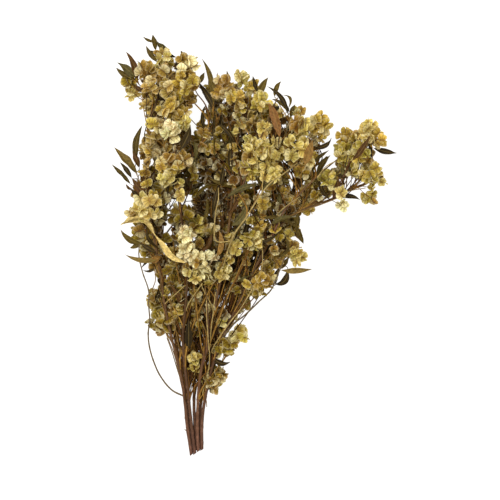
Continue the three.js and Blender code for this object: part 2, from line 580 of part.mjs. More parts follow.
// A stem or branch along its route, thinner toward its tip
function growStem(name, route, radius, sides) {
  const node = `stem_${name}`;
  const seat = radius.root * Math.cos(Math.PI / 6) - seatDepth;
  const points = route.map(([x, y, lift]) => place(x, y, lift, seat));
  if (!stemSolids.has(node)) stemSolids.set(node, []);
  stemSolids.get(node).push(skinOver(ringsAlong(points, radius, sides)));
  reserve(node, skinOver(ringsAlong(points, radius, sides, spare.stem * gap)));
  points.forEach((point, k) => {
    if (k === 0 || route[k][1] > lowestFork) return;
    const along = point.clone().sub(points[k - 1]).normalize();
    const bark = radius.root + ((radius.tip - radius.root) * (k - 0.5)) / (points.length - 1);
    for (const part of forkPlaces) {
      forks.push({ along, bark, point: point.clone().lerp(points[k - 1], part) });
    }
  });
}

// The forks from the best to the worst for a goal: near, and growing forward to it
function forksFor(goal) {
  const cost = ({ point }) => {
    const reach = goal.clone().sub(point);
    const astray = Math.max(0, forward.share * reach.length() - reach.y);
    return Math.abs(reach.length() - twigReach) + forward.weight * astray;
  };
  return forks.map((fork) => ({ ...fork, cost: cost(fork) })).sort((a, b) => a.cost - b.cost);
}

// A twig's thickness along its way back, from its thin end to its root
const backward = { root: twigRadius.tip, tip: twigRadius.root };

// A twig from a knob back to the bark of one of the best forks, bent clear of all else
function growTwig(growth, knob) {
  for (const { point, along, bark } of forksFor(knob.centre).slice(0, forkChoices)) {
    const outward = knob.centre.clone().sub(point).projectOnPlane(along).normalize();
    const root = point.clone().addScaledVector(outward, bark + gap);
    const away = knob.centre.distanceTo(root);
    const round = new THREE.Vector3().crossVectors(along, outward);
    const foot = ringRound(root, along, round, twigFoot, twigSides);
    for (const bend of bends) {
      const sway = bend.clone().multiplyScalar(Math.min(1, away / fullBend));
      sway.addScaledVector(outward, twigBow * away);
      const steps = away > longTwig ? twigSteps.long : twigSteps.short;
      const points = bowed(knob.centre, root, sway, steps);
      const rings = ringsAlong([knob.centre, ...points, root], backward, twigSides);
      const faces = facesToward(growth, knob, points[0]).slice(0, faceChoices.stalk);
      if (faces.some((face) => raise(growth, knob, face, [...rings.slice(1, -1), foot]))) return true;
    }
  }
  return false;
}

// A stalk between two knobs
function join(growth, from, to) {
  for (const sway of lesserBends) {
    const points = sway === lesserBends[0] ? [] : bowed(from.centre, to.centre, sway, 2);
    const rings = ringsAlong([from.centre, ...points, to.centre], stalkRadius, twigSides).slice(1, -1);
    const faces = facesToward(growth, from, points[0] ?? to.centre).slice(0, faceChoices.stalk);
    const landings = facesToward(growth, to, points[0] ?? from.centre).slice(0, faceChoices.stalk);
    const reaches = (face, landing) => raise(growth, from, face, rings, { face: landing, knob: to });
    if (faces.some((face) => landings.some((landing) => reaches(face, landing)))) return true;
  }
  return false;
}

const growths = [];

// A spray's fork, its twig back to a stem, and a knob for each of its heads
function growSpray(name, rows) {
  const growth = newGrowth(`spray_${name}`);
  const centres = rows.map(([x, y, lift, radius]) => place(x, y, lift, radius * pixel * headSeat));
  const start = centreOf(centres);
  const back = forksFor(start)[0].point.clone().sub(start);
  const behind = Math.min(forkBack.most, forkBack.share * back.length());
  if (rows.length > 1) start.add(back.setLength(behind));
  const fork = addKnob(growth, start, rows.length > 1 ? forkRadius : budRadius);
  if (!fork || !growTwig(growth, fork)) return [];
  growths.push(growth);
  if (rows.length === 1) return [{ growth, knob: fork, reach: rows[0][3] * pixel }];
  return rows.flatMap(([x, y, lift, radius], k) => {
    const corners = growth.corners.length;
    const knob = addKnob(growth, centres[k], budRadius);
    if (knob && join(growth, fork, knob)) return [{ growth, knob, reach: radius * pixel }];
    if (knob) growth.knobs.pop();
    growth.corners.length = corners;
    return [];
  });
}

// A shoot: a row of knobs along its axis, which its leaves grow from
function growShoot(name, [from, to]) {
  const growth = newGrowth(`shoot_${name}`);
  const [start, end] = [from, to].map(([x, y, lift]) => place(x, y, lift, leafSeat));
  let last = addKnob(growth, start, forkRadius);
  if (!last || !growTwig(growth, last)) return;
  growths.push(growth);
  for (const part of shootKnobs) {
    const knob = addKnob(growth, start.clone().lerp(end, part), forkRadius);
    join(growth, last, knob);
    last = knob;
  }
}

// The rings of a keeled narrow leaf, bowed to one side and arched a little upward
function bladeRings(foot, tip, width, bow) {
  const along = tip.clone().sub(foot);
  const across = new THREE.Vector3().crossVectors(along, up).normalize();
  const over = new THREE.Vector3().crossVectors(across, along).normalize();
  return bladeStations.map(([part, share]) => {
    const rib = foot.clone()
      .addScaledVector(along, part)
      .addScaledVector(across, -4 * bow * part * (1 - part))
      .addScaledVector(over, bladeArch * along.length() * part * (1 - part));
    const at = (aside, above) => rib.clone().addScaledVector(across, aside).addScaledVector(over, above);
    const half = (width * share) / 2;
    return [at(-half, -bladeThickness / 2), at(0, bladeThickness / 2), at(half, -bladeThickness / 2)];
  });
}

// A leaf on the nearest knob that can carry it clear of all else
function growLeaf([x, y, lift, tipX, tipY, tipLift, width, bow]) {
  const foot = place(x, y, lift, leafSeat);
  const tip = place(tipX, tipY, tipLift, leafSeat);
  const away = ({ knob }) => knob.centre.distanceTo(foot);
  const near = growths.flatMap((growth) => growth.knobs.map((knob) => ({ growth, knob })))
    .sort((a, b) => away(a) - away(b))
    .slice(0, carrierChoices);
  for (const shift of leafShifts) {
    for (const { growth, knob } of near) {
      const lifted = [foot, tip].map((p) => p.clone().add(new THREE.Vector3(0, 0, shift)));
      for (const face of facesToward(growth, knob, lifted[0]).slice(0, faceChoices.leaf)) {
        const rings = bladeRings(...lifted, width * pixel, bow * pixel);
        if (raise(growth, knob, face, rings, { tip: lifted[1] })) return;
      }
    }
  }
}

for (const [name, route] of Object.entries(stems)) growStem(name, route, stemRadius, stemSides);
for (const [name, radius, route] of branches) growStem(name, route, radius, branchSides);
for (const [name, axis] of Object.entries(shoots)) growShoot(name, axis);
const heads = Object.entries(sprays).flatMap(([name, rows]) => growSpray(name, rows));
leaves.forEach(growLeaf);
heads.forEach(growCapsules);

// The space under the table's top
const table = new THREE.BoxGeometry(tableSize.wide, tableSize.wide, tableSize.thick);
table.translate(0, 0, -tableSize.thick / 2);
table.deleteAttribute("normal");
table.deleteAttribute("uv");
const flat = mergeVertices(table);
const below = new wasm.Manifold(new wasm.Mesh({
  numProp: 3,
  vertProperties: new Float32Array(flat.attributes.position.array),
  triVerts: new Uint32Array(flat.index.array),
}));

const bunch = new THREE.Group();
bunch.position.set(-boxMiddle.x, -boxMiddle.y, 0);

// Adds a node to the bunch, cut flat where it lies on the table
function addNode(name, solid, finish) {
  const lying = solid.boundingBox().min[2] < 0 ? solid.subtract(below) : solid;
  const whole = lying.decompose().reduce((best, body) => (body.volume() > best.volume() ? body : best));
  const { vertProperties, triVerts } = whole.getMesh();
  const geometry = new THREE.BufferGeometry();
  geometry.setAttribute("position", new THREE.BufferAttribute(vertProperties, 3));
  geometry.setIndex(new THREE.BufferAttribute(triVerts, 1));
  geometry.computeVertexNormals();
  const mesh = new THREE.Mesh(geometry, new THREE.MeshStandardMaterial({ ...finish, metalness: 0 }));
  mesh.name = name;
  bunch.add(mesh);
}

for (const [name, own] of stemSolids) addNode(name, wasm.Manifold.union(own), finishes.bark);
for (const growth of growths) {
  const faces = growth.knobs.flatMap((knob) => knob.free);
  const finish = growth.node.startsWith("shoot") ? finishes.leaf : finishes.capsule;
  addNode(growth.node, solidOf(growth.corners, [...growth.triangles, ...faces]), finish);
}

export default bunch;
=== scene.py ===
import bmesh
import bpy
import numpy as np
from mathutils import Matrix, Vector


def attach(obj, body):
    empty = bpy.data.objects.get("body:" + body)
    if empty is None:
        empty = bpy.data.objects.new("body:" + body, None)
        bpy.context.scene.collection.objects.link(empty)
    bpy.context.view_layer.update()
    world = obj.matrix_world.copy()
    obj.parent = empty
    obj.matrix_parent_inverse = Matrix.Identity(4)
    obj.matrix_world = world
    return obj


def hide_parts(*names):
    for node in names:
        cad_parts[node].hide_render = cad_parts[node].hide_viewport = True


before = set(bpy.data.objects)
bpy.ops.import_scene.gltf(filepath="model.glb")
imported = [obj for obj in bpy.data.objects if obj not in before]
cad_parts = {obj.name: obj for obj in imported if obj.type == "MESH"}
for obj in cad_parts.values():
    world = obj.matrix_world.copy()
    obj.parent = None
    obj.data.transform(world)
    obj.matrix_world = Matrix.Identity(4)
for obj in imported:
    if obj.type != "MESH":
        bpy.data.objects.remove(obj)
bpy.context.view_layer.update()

# Cut stems: seven woody stems, 4.6 mm thick where one pull of the shears cut them on the slant, each
# grown in one piece with its side branches. The dry bark is thin and cracked lengthwise, reddish brown
# below and olive tan above, and the cut shows pale wood round a darker pith.
pixel = 0.0014  # real size of one pixel of the photograph
cut_ends = (196, 452)  # the pixel at the cut ends from which the bunch is measured
half_box = (0.0826, 0.29242)  # from there to the middle of the bunch's box
depth_rows = [40, 90, 140, 200, 250, 300, 350, 380, 400, 425, 452]  # rows of the photograph
depth_there = [0.084, 0.104, 0.12, 0.122, 0.108, 0.08, 0.045, 0.021, 0.013, 0.01, 0.01]  # metres
stem_thick = (0.0023, 0.0011)  # radius at the cut and at the tip
branch_thick = (0.0013, 0.0008)
bow_thick = (0.0012, 0.0008)  # the two bowed branches, which are grey and bear no twigs
front_thick = (0.00125, 0.0008)  # the bare rod in front, which is paler
stem_sides = 14
stem_steps = 9  # rings from one point of its table to the next
cut_slant = 0.58  # how far the cut rises for each unit across
bud_every = 0.021  # between the swollen rings where leaves once sat
bud_swell, bud_long = 0.22, 0.0014  # how much thicker, as a part, and over what length
stem_seat = 0.0017  # a stem's middle over the table where it lies on it
# A point has its column and row in the photograph and its lift, from 0 on the table to 1 at the crown.
stems = {
    "left": [(191.5, 456, 1), (187.6, 430, 1), (185.6, 410, 1), (183, 388, 1), (178, 362, .95),
        (171, 335, .9), (165, 305, .8), (161, 275, .75), (156, 245, .7), (151, 212, .68), (148, 178, .68),
        (148, 148, .7), (151, 120, .72), (157, 103, .74)],
    "mid_left": [(195, 455, 1), (192, 430, 1), (189.8, 410, 1), (187.4, 388, 1), (184.5, 362, .95),
        (183.5, 335, .9), (186, 305, .85), (188, 275, .82), (186, 245, .8), (181, 212, .8), (177, 178, .8),
        (176, 148, .78), (176, 118, .76), (176, 96, .76)],
    "mid_right": [(198.5, 452.5, 1), (197.5, 430, 1), (197.8, 410, 1), (199, 388, 1), (203, 362, .95),
        (209, 335, .9), (216, 305, .85), (222, 275, .8), (227, 245, .78), (231, 212, .76), (234, 178, .75),
        (237, 148, .75), (240, 122, .74), (240, 102, .72)],
    "right": [(202, 451, 1), (202, 430, 1), (203.6, 410, 1), (207.5, 388, 1), (214, 362, .95),
        (224, 335, .85), (238, 305, .75), (252, 275, .7), (266, 248, .66), (282, 224, .62),
        (300, 211, .58), (318, 204, .52), (334, 198, .47), (350, 190, .43), (364, 184, .4)],
    "under_left": [(193.3, 453.5, 0), (190, 428, 0), (187, 405, 0), (183, 380, .02), (177, 350, .03),
        (171, 320, .05), (166, 290, .07), (163, 260, .1), (161, 230, .12), (159, 200, .14),
        (157, 170, .16), (155, 140, .18), (156, 115, .2)],
    "under_mid": [(196.8, 451.5, 0), (195, 428, 0), (194, 405, 0), (195, 380, .02), (197, 350, .04),
        (200, 320, .07), (204, 290, .09), (208, 260, .11), (211, 230, .13), (213, 200, .15),
        (214, 170, .17), (215, 140, .19), (216, 112, .21)],
    "under_right": [(200.3, 450.5, 0), (199.7, 428, 0), (201, 405, 0), (206, 380, .02), (215, 350, .03),
        (227, 320, .05), (240, 290, .07), (254, 262, .09), (268, 238, .11), (282, 214, .13),
        (296, 190, .15), (312, 170, .17), (328, 156, .18)],
}
# Each branch is fused to the stem that it names.
branches = [
    ("left", bow_thick, [(184, 397, 1), (171, 390, 1.15), (159, 374, 1.1), (151, 353, 1),
        (148.5, 335, .95), (150, 320, .9), (149, 304, .85), (149, 290, .8), (143, 272, .78),
        (139.5, 256, .75), (140, 244, .74)]),
    ("right", bow_thick, [(222, 339, .88), (234, 324, .9), (246, 314.5, .88), (259, 302, .8),
        (271, 290.5, .74), (276, 280, .7), (281, 268, .66), (286, 256, .62)]),
    ("mid_right", branch_thick, [(203, 366, .98), (208, 345, 1.2), (208.5, 322, 1.25), (207.5, 302, 1.15),
        (205.5, 286, 1.05)]),
    ("mid_right", front_thick, [(222, 272, .82), (233, 238, 1.02), (247, 217, 1.08), (259, 198, 1.08),
        (270, 184, 1.05), (284, 174, .98), (298, 163, .85)]),
    ("right", branch_thick, [(334, 198, .47), (339, 186, .55), (345, 174, .62), (349, 163, .62),
        (351, 152, .58), (360, 144, .54)]),
    ("right", branch_thick, [(272, 238, .66), (284, 212, .74), (298, 196, .76), (316, 178, .72),
        (327, 168, .66), (337, 160, .62)]),
    ("mid_right", branch_thick, [(231, 212, .76), (243, 186, .84), (252, 160, .86), (262, 136, .84),
        (270, 116, .78), (278, 98, .68)]),
    ("mid_right", branch_thick, [(247, 174, .85), (268, 150, .8), (284, 140, .76), (297, 130, .72),
        (306, 122, .66)]),
    ("mid_left", branch_thick, [(177, 178, .8), (190, 160, .68), (203, 140, .62), (210, 122, .6),
        (212, 104, .62)]),
]


def place(spots, half):
    """Points for rows of photograph x, y and lift. z goes from half to the bunch's depth at that row
    less half, as the lift goes from 0 on the table to 1 at the crown."""
    x, y, lift = np.asarray(spots, float).T
    z = half + lift * (np.interp(y, depth_rows, depth_there) - 2 * half)
    return np.stack([(x - cut_ends[0]) * pixel - half_box[0],
                     (cut_ends[1] - y) * pixel - half_box[1], z], -1)


def smooth(points, steps):
    """A curve through the points: on each stretch a cubic whose slope at either end is half the way
    from the point before that end to the point after it."""
    row = np.concatenate([2 * points[:1] - points[1:2], points, 2 * points[-1:] - points[-2:-1]])
    before, start, end, after = (row[k:len(row) - 3 + k, None] for k in range(4))
    t = np.linspace(0, 1, steps, endpoint=False)[None, :, None]
    curve = start + t / 2 * (end - before + t * (2 * before - 5 * start + 4 * end - after
                                                  + t * (3 * start - before - 3 * end + after)))
    return np.concatenate([curve.reshape(-1, 3), points[-1:]])


def unit(vectors):
    """The vectors at a length of 1."""
    return vectors / np.linalg.norm(vectors, axis=-1, keepdims=True).clip(1e-12)


def sheets(points, across, along, tint, slot=0):
    """A part of a piece: grids of points and their quads, row after row. Each corner has a place on the
    surface, across and along it in metres, and a tint with a fourth number for how far out it is."""
    rows, columns = points.shape[-3:-1]
    corner = (np.arange(rows - 1)[:, None] * columns + np.arange(columns - 1)).reshape(-1, 1)
    quads = corner + np.array([0, 1, columns + 1, columns])
    first = np.arange(points[..., 0, 0, 0].size)[:, None, None] * rows * columns
    surface = np.stack([np.broadcast_to(way, points.shape[:-1]) for way in (across, along)], -1)
    return {"points": points.reshape(-1, 3), "quads": (quads + first).reshape(-1, 4),
            "surface": surface.reshape(-1, 2), "slot": slot,
            "tint": np.broadcast_to(tint, (*points.shape[:-1], 4)).reshape(-1, 4)}


def rods(routes, radii, sides, tint, slot=0, slant=0):
    """Round rods, closed at both ends. A ring at each point of a route: centre + radius * (side cos a
    + over sin a), with side and over square to the way ahead. The first ring rises by slant times
    the distance to the right, as a slanted cut does."""
    ahead = unit(np.gradient(routes, axis=1))
    steep = np.abs(ahead[:, :, 2]).mean(1) > 0.85
    steady = np.where(steep[:, None, None], [[[0.0, 1.0, 0.0]]], [[[0.0, 0.0, 1.0]]])
    side = unit(np.cross(ahead, steady))
    over = np.cross(ahead, side)
    angle = np.linspace(0, 2 * np.pi, sides + 1)
    spoke = side[:, :, None] * np.cos(angle)[:, None] + over[:, :, None] * np.sin(angle)[:, None]
    radii = np.broadcast_to(radii if np.ndim(radii) == 3 else np.asarray(radii)[..., None],
                            spoke.shape[:3])
    rings = routes[:, :, None] + spoke * radii[..., None]
    rings[:, 0, :, 1] += slant * (rings[:, 0, :, 0] - routes[:, :1, 0])
    ends = np.broadcast_to(routes[:, [0, -1], None], rings[:, :2].shape)
    rings = np.concatenate([ends[:, :1], rings, ends[:, 1:]], 1)
    length = np.linalg.norm(np.diff(routes, axis=1, prepend=routes[:, :1]), axis=2).cumsum(1)
    length = np.pad(length, ((0, 0), (1, 1)), "edge")[..., None]
    tint = np.broadcast_to(np.asarray(tint, float), (len(routes), routes.shape[1], 4))
    tint = np.pad(tint, ((0, 0), (1, 1), (0, 0)), "edge")[:, :, None]
    return sheets(rings, angle * radii[:, :1].mean(2, keepdims=True), length, tint, slot)


def add_object(name, data):
    """A new object in the scene."""
    made = bpy.data.objects.new(name, data)
    bpy.context.scene.collection.objects.link(made)
    return made


def make_piece(name, parts, materials, nodes=()):
    """One object of several parts, which stands for the solids of those nodes. What would reach under
    the table is laid flat on it. Seams and ends are closed by merging their corners."""
    starts = np.cumsum([0] + [len(part["points"]) for part in parts])
    points, surface, tint = (np.concatenate([part[key] for part in parts])
                             for key in ("points", "surface", "tint"))
    points[:, 2] = points[:, 2].clip(0)
    quads = np.concatenate([part["quads"] + start for part, start in zip(parts, starts)])
    slots = np.concatenate([np.full(len(part["quads"]), part["slot"]) for part in parts])
    mesh = bpy.data.meshes.new(name)
    mesh.from_pydata(points.tolist(), [], quads.tolist())
    mesh.uv_layers.new(name="surface").uv.foreach_set("vector", surface[quads.ravel()].ravel())
    mesh.attributes.new("tint", "FLOAT_COLOR", "POINT").data.foreach_set("color", tint.ravel())
    mesh.polygons.foreach_set("material_index", slots.astype(np.int32))
    mesh.polygons.foreach_set("use_smooth", np.ones(len(quads), bool))
    for material in materials:
        mesh.materials.append(material)
    shell = bmesh.new()
    shell.from_mesh(mesh)
    bmesh.ops.remove_doubles(shell, verts=shell.verts, dist=2e-6)
    shell.to_mesh(mesh)
    shell.free()
    mesh.update()
    piece = add_object(name, mesh)
    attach(piece, "root")
    if nodes:
        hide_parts(*nodes)


def paint(code):
    """Linear colour of an sRGB hex value: ((c + 0.055) / 1.055) to the power 2.4, and c / 12.92 where
    it is darkest, with a fourth number of 1."""
    c = np.array([int(code[k:k + 2], 16) for k in (1, 3, 5)]) / 255
    return np.append(np.where(c > 0.04045, ((c + 0.055) / 1.055) ** 2.4, c / 12.92), 1.0)


def add_node(tree, kind, inputs=None, **settings):
    """Adds a shader node with its settings and gives its outputs. An input gets a link where it is
    given an output, and otherwise a value. Inputs that share a name go by their number: a colour Mix
    has its factor at 0, its colours at 6 and 7, and its result at 2."""
    made = tree.nodes.new("ShaderNode" + kind)
    for name, value in settings.items():
        setattr(made, name, value)
    for key, value in (inputs or {}).items():
        if isinstance(value, bpy.types.NodeSocket):
            tree.links.new(value, made.inputs[key])
        else:
            made.inputs[key].default_value = value
    return made.outputs


def new_material(name):
    """An empty material and its node tree."""
    material = bpy.data.materials.new(name)
    material.use_nodes = True
    material.node_tree.nodes.clear()
    return material, material.node_tree


# Dry bark scatters light evenly, with a dull sheen on its ridges. Cracks stand about 0.6 mm apart
# round the stem and run 9 mm along it, and in patches 4 mm wide it flakes and is about twice as pale.
crack_apart, crack_long = 0.0006, 0.009
flake_size = 0.004
bark, tree = new_material("dry cracked bark")
surface = add_node(tree, "UVMap", uv_map="surface")["UV"]
body = add_node(tree, "TexCoord")["Object"]
own = add_node(tree, "Attribute", attribute_name="tint")
stretched = add_node(tree, "Mapping", {
    "Vector": surface, "Scale": (1 / crack_apart, 1 / crack_long, 1)})[0]
cracks = add_node(tree, "TexNoise", {
    "Vector": stretched, "Scale": 1.0, "Detail": 4.0, "Roughness": 0.6})["Fac"]
flakes = add_node(tree, "TexNoise", {"Vector": body, "Scale": 1 / flake_size, "Detail": 3.0})["Fac"]
groove = add_node(tree, "MapRange", {
    "Value": cracks, "From Min": 0.36, "From Max": 0.56, "To Min": 0.45, "To Max": 1.1})[0]
flaking = add_node(tree, "MapRange", {
    "Value": flakes, "From Min": 0.52, "From Max": 0.7, "To Min": 0.0, "To Max": 0.55})[0]
shaded = add_node(tree, "VectorMath", {0: own["Color"], 1: groove}, operation="MULTIPLY")[0]
pale = add_node(tree, "VectorMath", {0: own["Color"], 1: (1.9, 2.0, 2.3)}, operation="MULTIPLY")[0]
flaked = add_node(tree, "Mix", {0: flaking, 6: shaded, 7: pale}, data_type="RGBA")[2]
ridged = add_node(tree, "Bump", {"Height": cracks, "Strength": 0.6, "Distance": 0.0004})[0]
shader = add_node(tree, "BsdfPrincipled", {
    "Base Color": flaked, "Roughness": 0.72, "IOR": 1.45, "Specular IOR Level": 0.2,
    "Normal": ridged})[0]
add_node(tree, "OutputMaterial", {"Surface": shader})

# Freshly cut wood is paler than bark and matt, with rings 1 mm apart round a soft brown pith.
wave_step = 1 / 3.15  # how far apart the bands of a wave texture stand at a scale of 1
ring_apart = 0.001
cut_wood, tree = new_material("cut pale wood")
surface = add_node(tree, "UVMap", uv_map="surface")["UV"]
own = add_node(tree, "Attribute", attribute_name="tint")
year_rings = add_node(tree, "TexWave", {
    "Vector": surface, "Scale": wave_step / ring_apart, "Distortion": 2.0, "Detail": 2.0},
    wave_type="BANDS", bands_direction="Y")["Fac"]
ringed = add_node(tree, "MapRange", {"Value": year_rings, "To Min": 0.72, "To Max": 1.0})[0]
grained = add_node(tree, "VectorMath", {0: own["Color"], 1: ringed}, operation="MULTIPLY")[0]
shader = add_node(tree, "BsdfPrincipled", {"Base Color": grained, "Roughness": 0.8, "IOR": 1.5})[0]
add_node(tree, "OutputMaterial", {"Surface": shader})

bark_low, bark_high = paint("#5a3b2f"), paint("#554020")
bare_tones = {"grey": "#5a4c36", "tan": "#94804e", "brown": "#6b5128", "dark": "#33230f"}
branch_tones = {bow_thick: "grey", front_thick: "tan"}
cut_face = [(1, "#5d3d2c"), (0.9, "#7a5538"), (0.86, "#c9ab7c"), (0.35, "#c2a272"), (0.2, "#8a6642"),
            (0, "#6f5034")]  # parts of the radius and the tones there, from the bark to the pith
cut_outs = np.array([out for out, _ in cut_face])[:, None, None]
cut_tones = np.array([paint(code) for _, code in cut_face])
cut_proud = 0.00004  # how far the face stands out of the rod's closed end
random = np.random.default_rng(11)
carriers = []  # points along all bark, each with its way ahead and whether twigs leave it
stem_parts = {name: [] for name in stems}
for name, thick, rows in [(name, stem_thick, rows) for name, rows in stems.items()] + branches:
    way = smooth(place(rows, stem_seat), stem_steps)
    share = np.linspace(0, 1, len(way))
    length = np.linalg.norm(np.diff(way, axis=0, prepend=way[:1]), axis=1).cumsum()
    bears = np.full(len(way), thick is not bow_thick)
    carriers.append(np.column_stack([way, unit(np.gradient(way, axis=0)), bears]))
    swell = 1 + bud_swell * np.exp(-((length % bud_every - bud_every / 2) / bud_long) ** 2)
    angle = np.linspace(0, 2 * np.pi, stem_sides + 1)
    # lumps wind along the rod, three and five of them round it
    lumps = 1 + 0.05 * np.sin(3 * angle + 90 * length[:, None] + random.uniform(0, 6)) \
        + 0.03 * np.sin(5 * angle - 260 * length[:, None])
    radius = (thick[0] + (thick[1] - thick[0]) * share)[:, None] * swell[:, None] * lumps
    tone = bark_low + (bark_high - bark_low) * (share ** 0.6)[:, None]
    if thick in branch_tones:
        tone[:] = paint(bare_tones[branch_tones[thick]])
    tone[:, :3] *= random.uniform(0.75, 1.15)
    is_stem = thick is stem_thick
    stem_parts[name].append(rods(way[None], radius[None], stem_sides, tone[None],
                                 slant=cut_slant * is_stem))
    if is_stem:
        middle, rim = stem_parts[name][0]["points"].reshape(-1, stem_sides + 1, 3)[:2]
        face = middle + (rim - middle) * cut_outs + [0, -cut_proud, 0]
        stem_parts[name].append(sheets(face[::-1], angle * 0.001, cut_outs[::-1, :, 0] * thick[0],
                                       cut_tones[::-1, None], slot=1))
for name, parts in stem_parts.items():
    make_piece(f"{name}_stem", parts, [bark, cut_wood], [f"stem_{name}"])
carriers = np.concatenate(carriers)

# Fine twigs: side twigs grown out of the stems' bark, 1.3 to 3 mm thick there and about 1 mm at the tip.
# They run nearly along the stems and then open out, with a fork and a thin stalk to each head of
# capsules. Bare ones show below the capsules.
# The heads of each spray, each by its column, row, lift, radius in pixels and tone.
spray_table = {
    "far_left_top": [(147, 70, .75, 10, "amber"), (130, 82, .4, 8, "olive"), (150, 86, .9, 8, "tan"),
        (133, 93, .35, 7, "straw"), (147, 106, .6, 7, "tan")],
    "crown_left": [(165, 74, .7, 9, "amber"), (164, 57, .6, 9, "straw"), (168, 88, .9, 9, "tan")],
    "crown_tip": [(186, 84, .95, 12, "gold"), (187, 66, .9, 11.5, "cream"), (191, 61, .8, 6, "straw")],
    "upper_left": [(181, 113, .85, 9, "gold"), (168, 108, .95, 11, "gold"), (184, 124, .9, 8, "straw"),
        (189, 100, .6, 8, "amber")],
    "upper_edge": [(156, 125, .85, 9, "green"), (152, 138, .8, 8, "tan"), (172, 131, 1, 10, "cream")],
    "left_shoulder": [(165, 147, .5, 10, "amber"), (147, 152, .35, 9, "tan")],
    "left_front": [(170, 166, 1, 12, "gold"), (184, 160, .9, 9, "amber"), (168, 178, .95, 10, "straw")],
    "left_waist": [(163, 192, .45, 11, "olive"), (150, 180, .3, 9, "brown")],
    "left_edge": [(148, 207, .95, 14, "straw"), (134, 214, .8, 7, "gold"), (143, 232, .45, 11, "olive")],
    "left_heart": [(187, 185, .4, 9, "brown"), (181, 215, .5, 12, "olive")],
    "heart": [(198, 225, .4, 9, "green"), (187, 234, 1, 8, "cream"), (213, 232, .5, 8, "tan"),
        (222, 233, .3, 8, "tan")],
    "front_left": [(187, 250, .9, 10, "cream"), (178, 262, .45, 9, "tan"), (197, 258, 1, 9, "cream")],
    "front_main": [(210, 265, 1, 14, "cream"), (222, 272, .95, 9, "straw"), (207, 280, .85, 8, "gold")],
    "front_low": [(193, 275, .95, 9, "straw"), (174, 275, .4, 8, "gold")],
    "top_amber": [(225, 88, .85, 12, "amber"), (242, 78, .6, 8, "straw"), (236, 100, .95, 10, "gold"),
        (228, 110, .5, 9, "brown")],
    "top_gold": [(262, 103, .9, 10, "green"), (253, 88, .45, 8, "gold")],
    "top_inner": [(220, 128, .4, 10, "amber"), (203, 126, .3, 7, "gold"), (201, 140, .55, 9, "olive")],
    "top_right": [(250, 122, .75, 11, "tan"), (235, 120, .4, 8, "brown"), (265, 130, .85, 8, "straw")],
    "middle_upper": [(225, 145, .5, 13, "olive"), (232, 158, .65, 11, "olive")],
    "middle_deep": [(208, 165, .5, 10, "brown"), (190, 147, .3, 7, "olive"), (215, 180, .3, 11, "brown")],
    "front_upper": [(255, 152, 1, 12, "straw"), (250, 140, .95, 6, "straw"), (250, 170, .9, 10, "green")],
    "front_right": [(272, 150, .95, 12, "straw"), (270, 172, .9, 11, "straw")],
    "right_top": [(300, 128, .85, 11, "straw"), (299, 113, .6, 7, "green"), (320.5, 123, .7, 11, "gold"),
        (318, 135, .6, 9, "gold")],
    "right_front": [(297, 148, .95, 13, "straw"), (308, 158, .9, 9, "gold"), (303, 170, .7, 8, "olive")],
    "right_inner": [(345, 153, .45, 11, "green"), (346, 137, .4, 9, "gold"), (357, 138, .5, 7, "gold")],
    "right_tip": [(368, 130, .6, 11, "straw"), (377, 139, .55, 9.5, "gold"), (360, 152, .65, 11, "green")],
    "right_edge": [(372, 173, .5, 10.5, "green"), (354, 169, .6, 8, "green"), (383, 180, .4, 6, "straw"),
        (373, 187, .35, 5, "green"), (371, 198, .3, 8, "green")],
    "right_lower": [(330, 180, .55, 10, "green"), (311, 179, .45, 7, "green"), (341, 193, .7, 6, "straw"),
        (343, 205, .3, 6, "cream")],
    "right_deep": [(310, 192, .35, 10, "olive"), (308, 208, .3, 7, "gold"), (282, 196, .45, 9, "amber"),
        (283, 178, .4, 7, "olive")],
    "middle_gold": [(243, 200, .8, 7, "green"), (262, 203, .7, 8, "gold"), (240, 182, .7, 8, "olive")],
    "middle_front": [(252, 240, .95, 10, "green"), (235, 247, .9, 8, "straw"), (256, 225, .7, 9, "gold")],
    "lower_right": [(284, 232, .3, 9, "green"), (291, 248, .35, 9, "amber"), (298, 256, .45, 9, "straw")],
    "lower_gold": [(264, 278, .7, 12, "gold"), (275, 258, .5, 11, "amber"), (245, 300, .45, 9, "olive"),
        (257, 291, .6, 6, "olive")],
    "low_right": [(239.5, 335, .9, 9.5, "green"), (223, 348, 1, 11, "olive"), (232, 343, .95, 8, "olive")],
    "low_single": [(214, 380.5, .9, 12.5, "olive"), (219, 374, 1.1, 8, "olive"),
        (211, 380, 1.8, 7, "olive")],
    "low_mid": [(196, 358, .95, 7, "straw"), (194, 369, .9, 6, "green")],
    "low_left": [(161, 322, .85, 12.5, "olive"), (158, 301, .6, 10, "olive"), (175, 304, .5, 10, "olive")],
    "under_upper_left": [(160, 100, .25, 11, "olive"), (156, 116, 0, 10, "tan")],
    "under_left_side": [(165, 165, .28, 10, "olive"), (145, 190, 0, 12, "brown")],
    "under_left_low": [(180, 225, .25, 9, "brown"), (149, 246, 0, 11, "olive")],
    "under_top": [(214, 112, .15, 10, "brown"), (215, 90, .3, 10, "olive")],
    "under_middle": [(235, 135, .3, 10, "brown"), (210, 150, 0, 12, "olive")],
    "under_top_right": [(285, 140, .3, 10, "olive"), (265, 120, .1, 11, "gold")],
    "under_centre": [(250, 200, .3, 10, "brown"), (270, 175, 0, 12, "olive")],
    "under_right_side": [(350, 165, .25, 10, "olive"), (341, 171, .05, 8, "gold")],
    "under_right_low": [(285, 225, .25, 10, "olive"), (300, 200, 0, 10, "olive")],
    "under_low": [(215, 270, 0, 11, "olive"), (240, 260, .3, 10, "brown")],
}
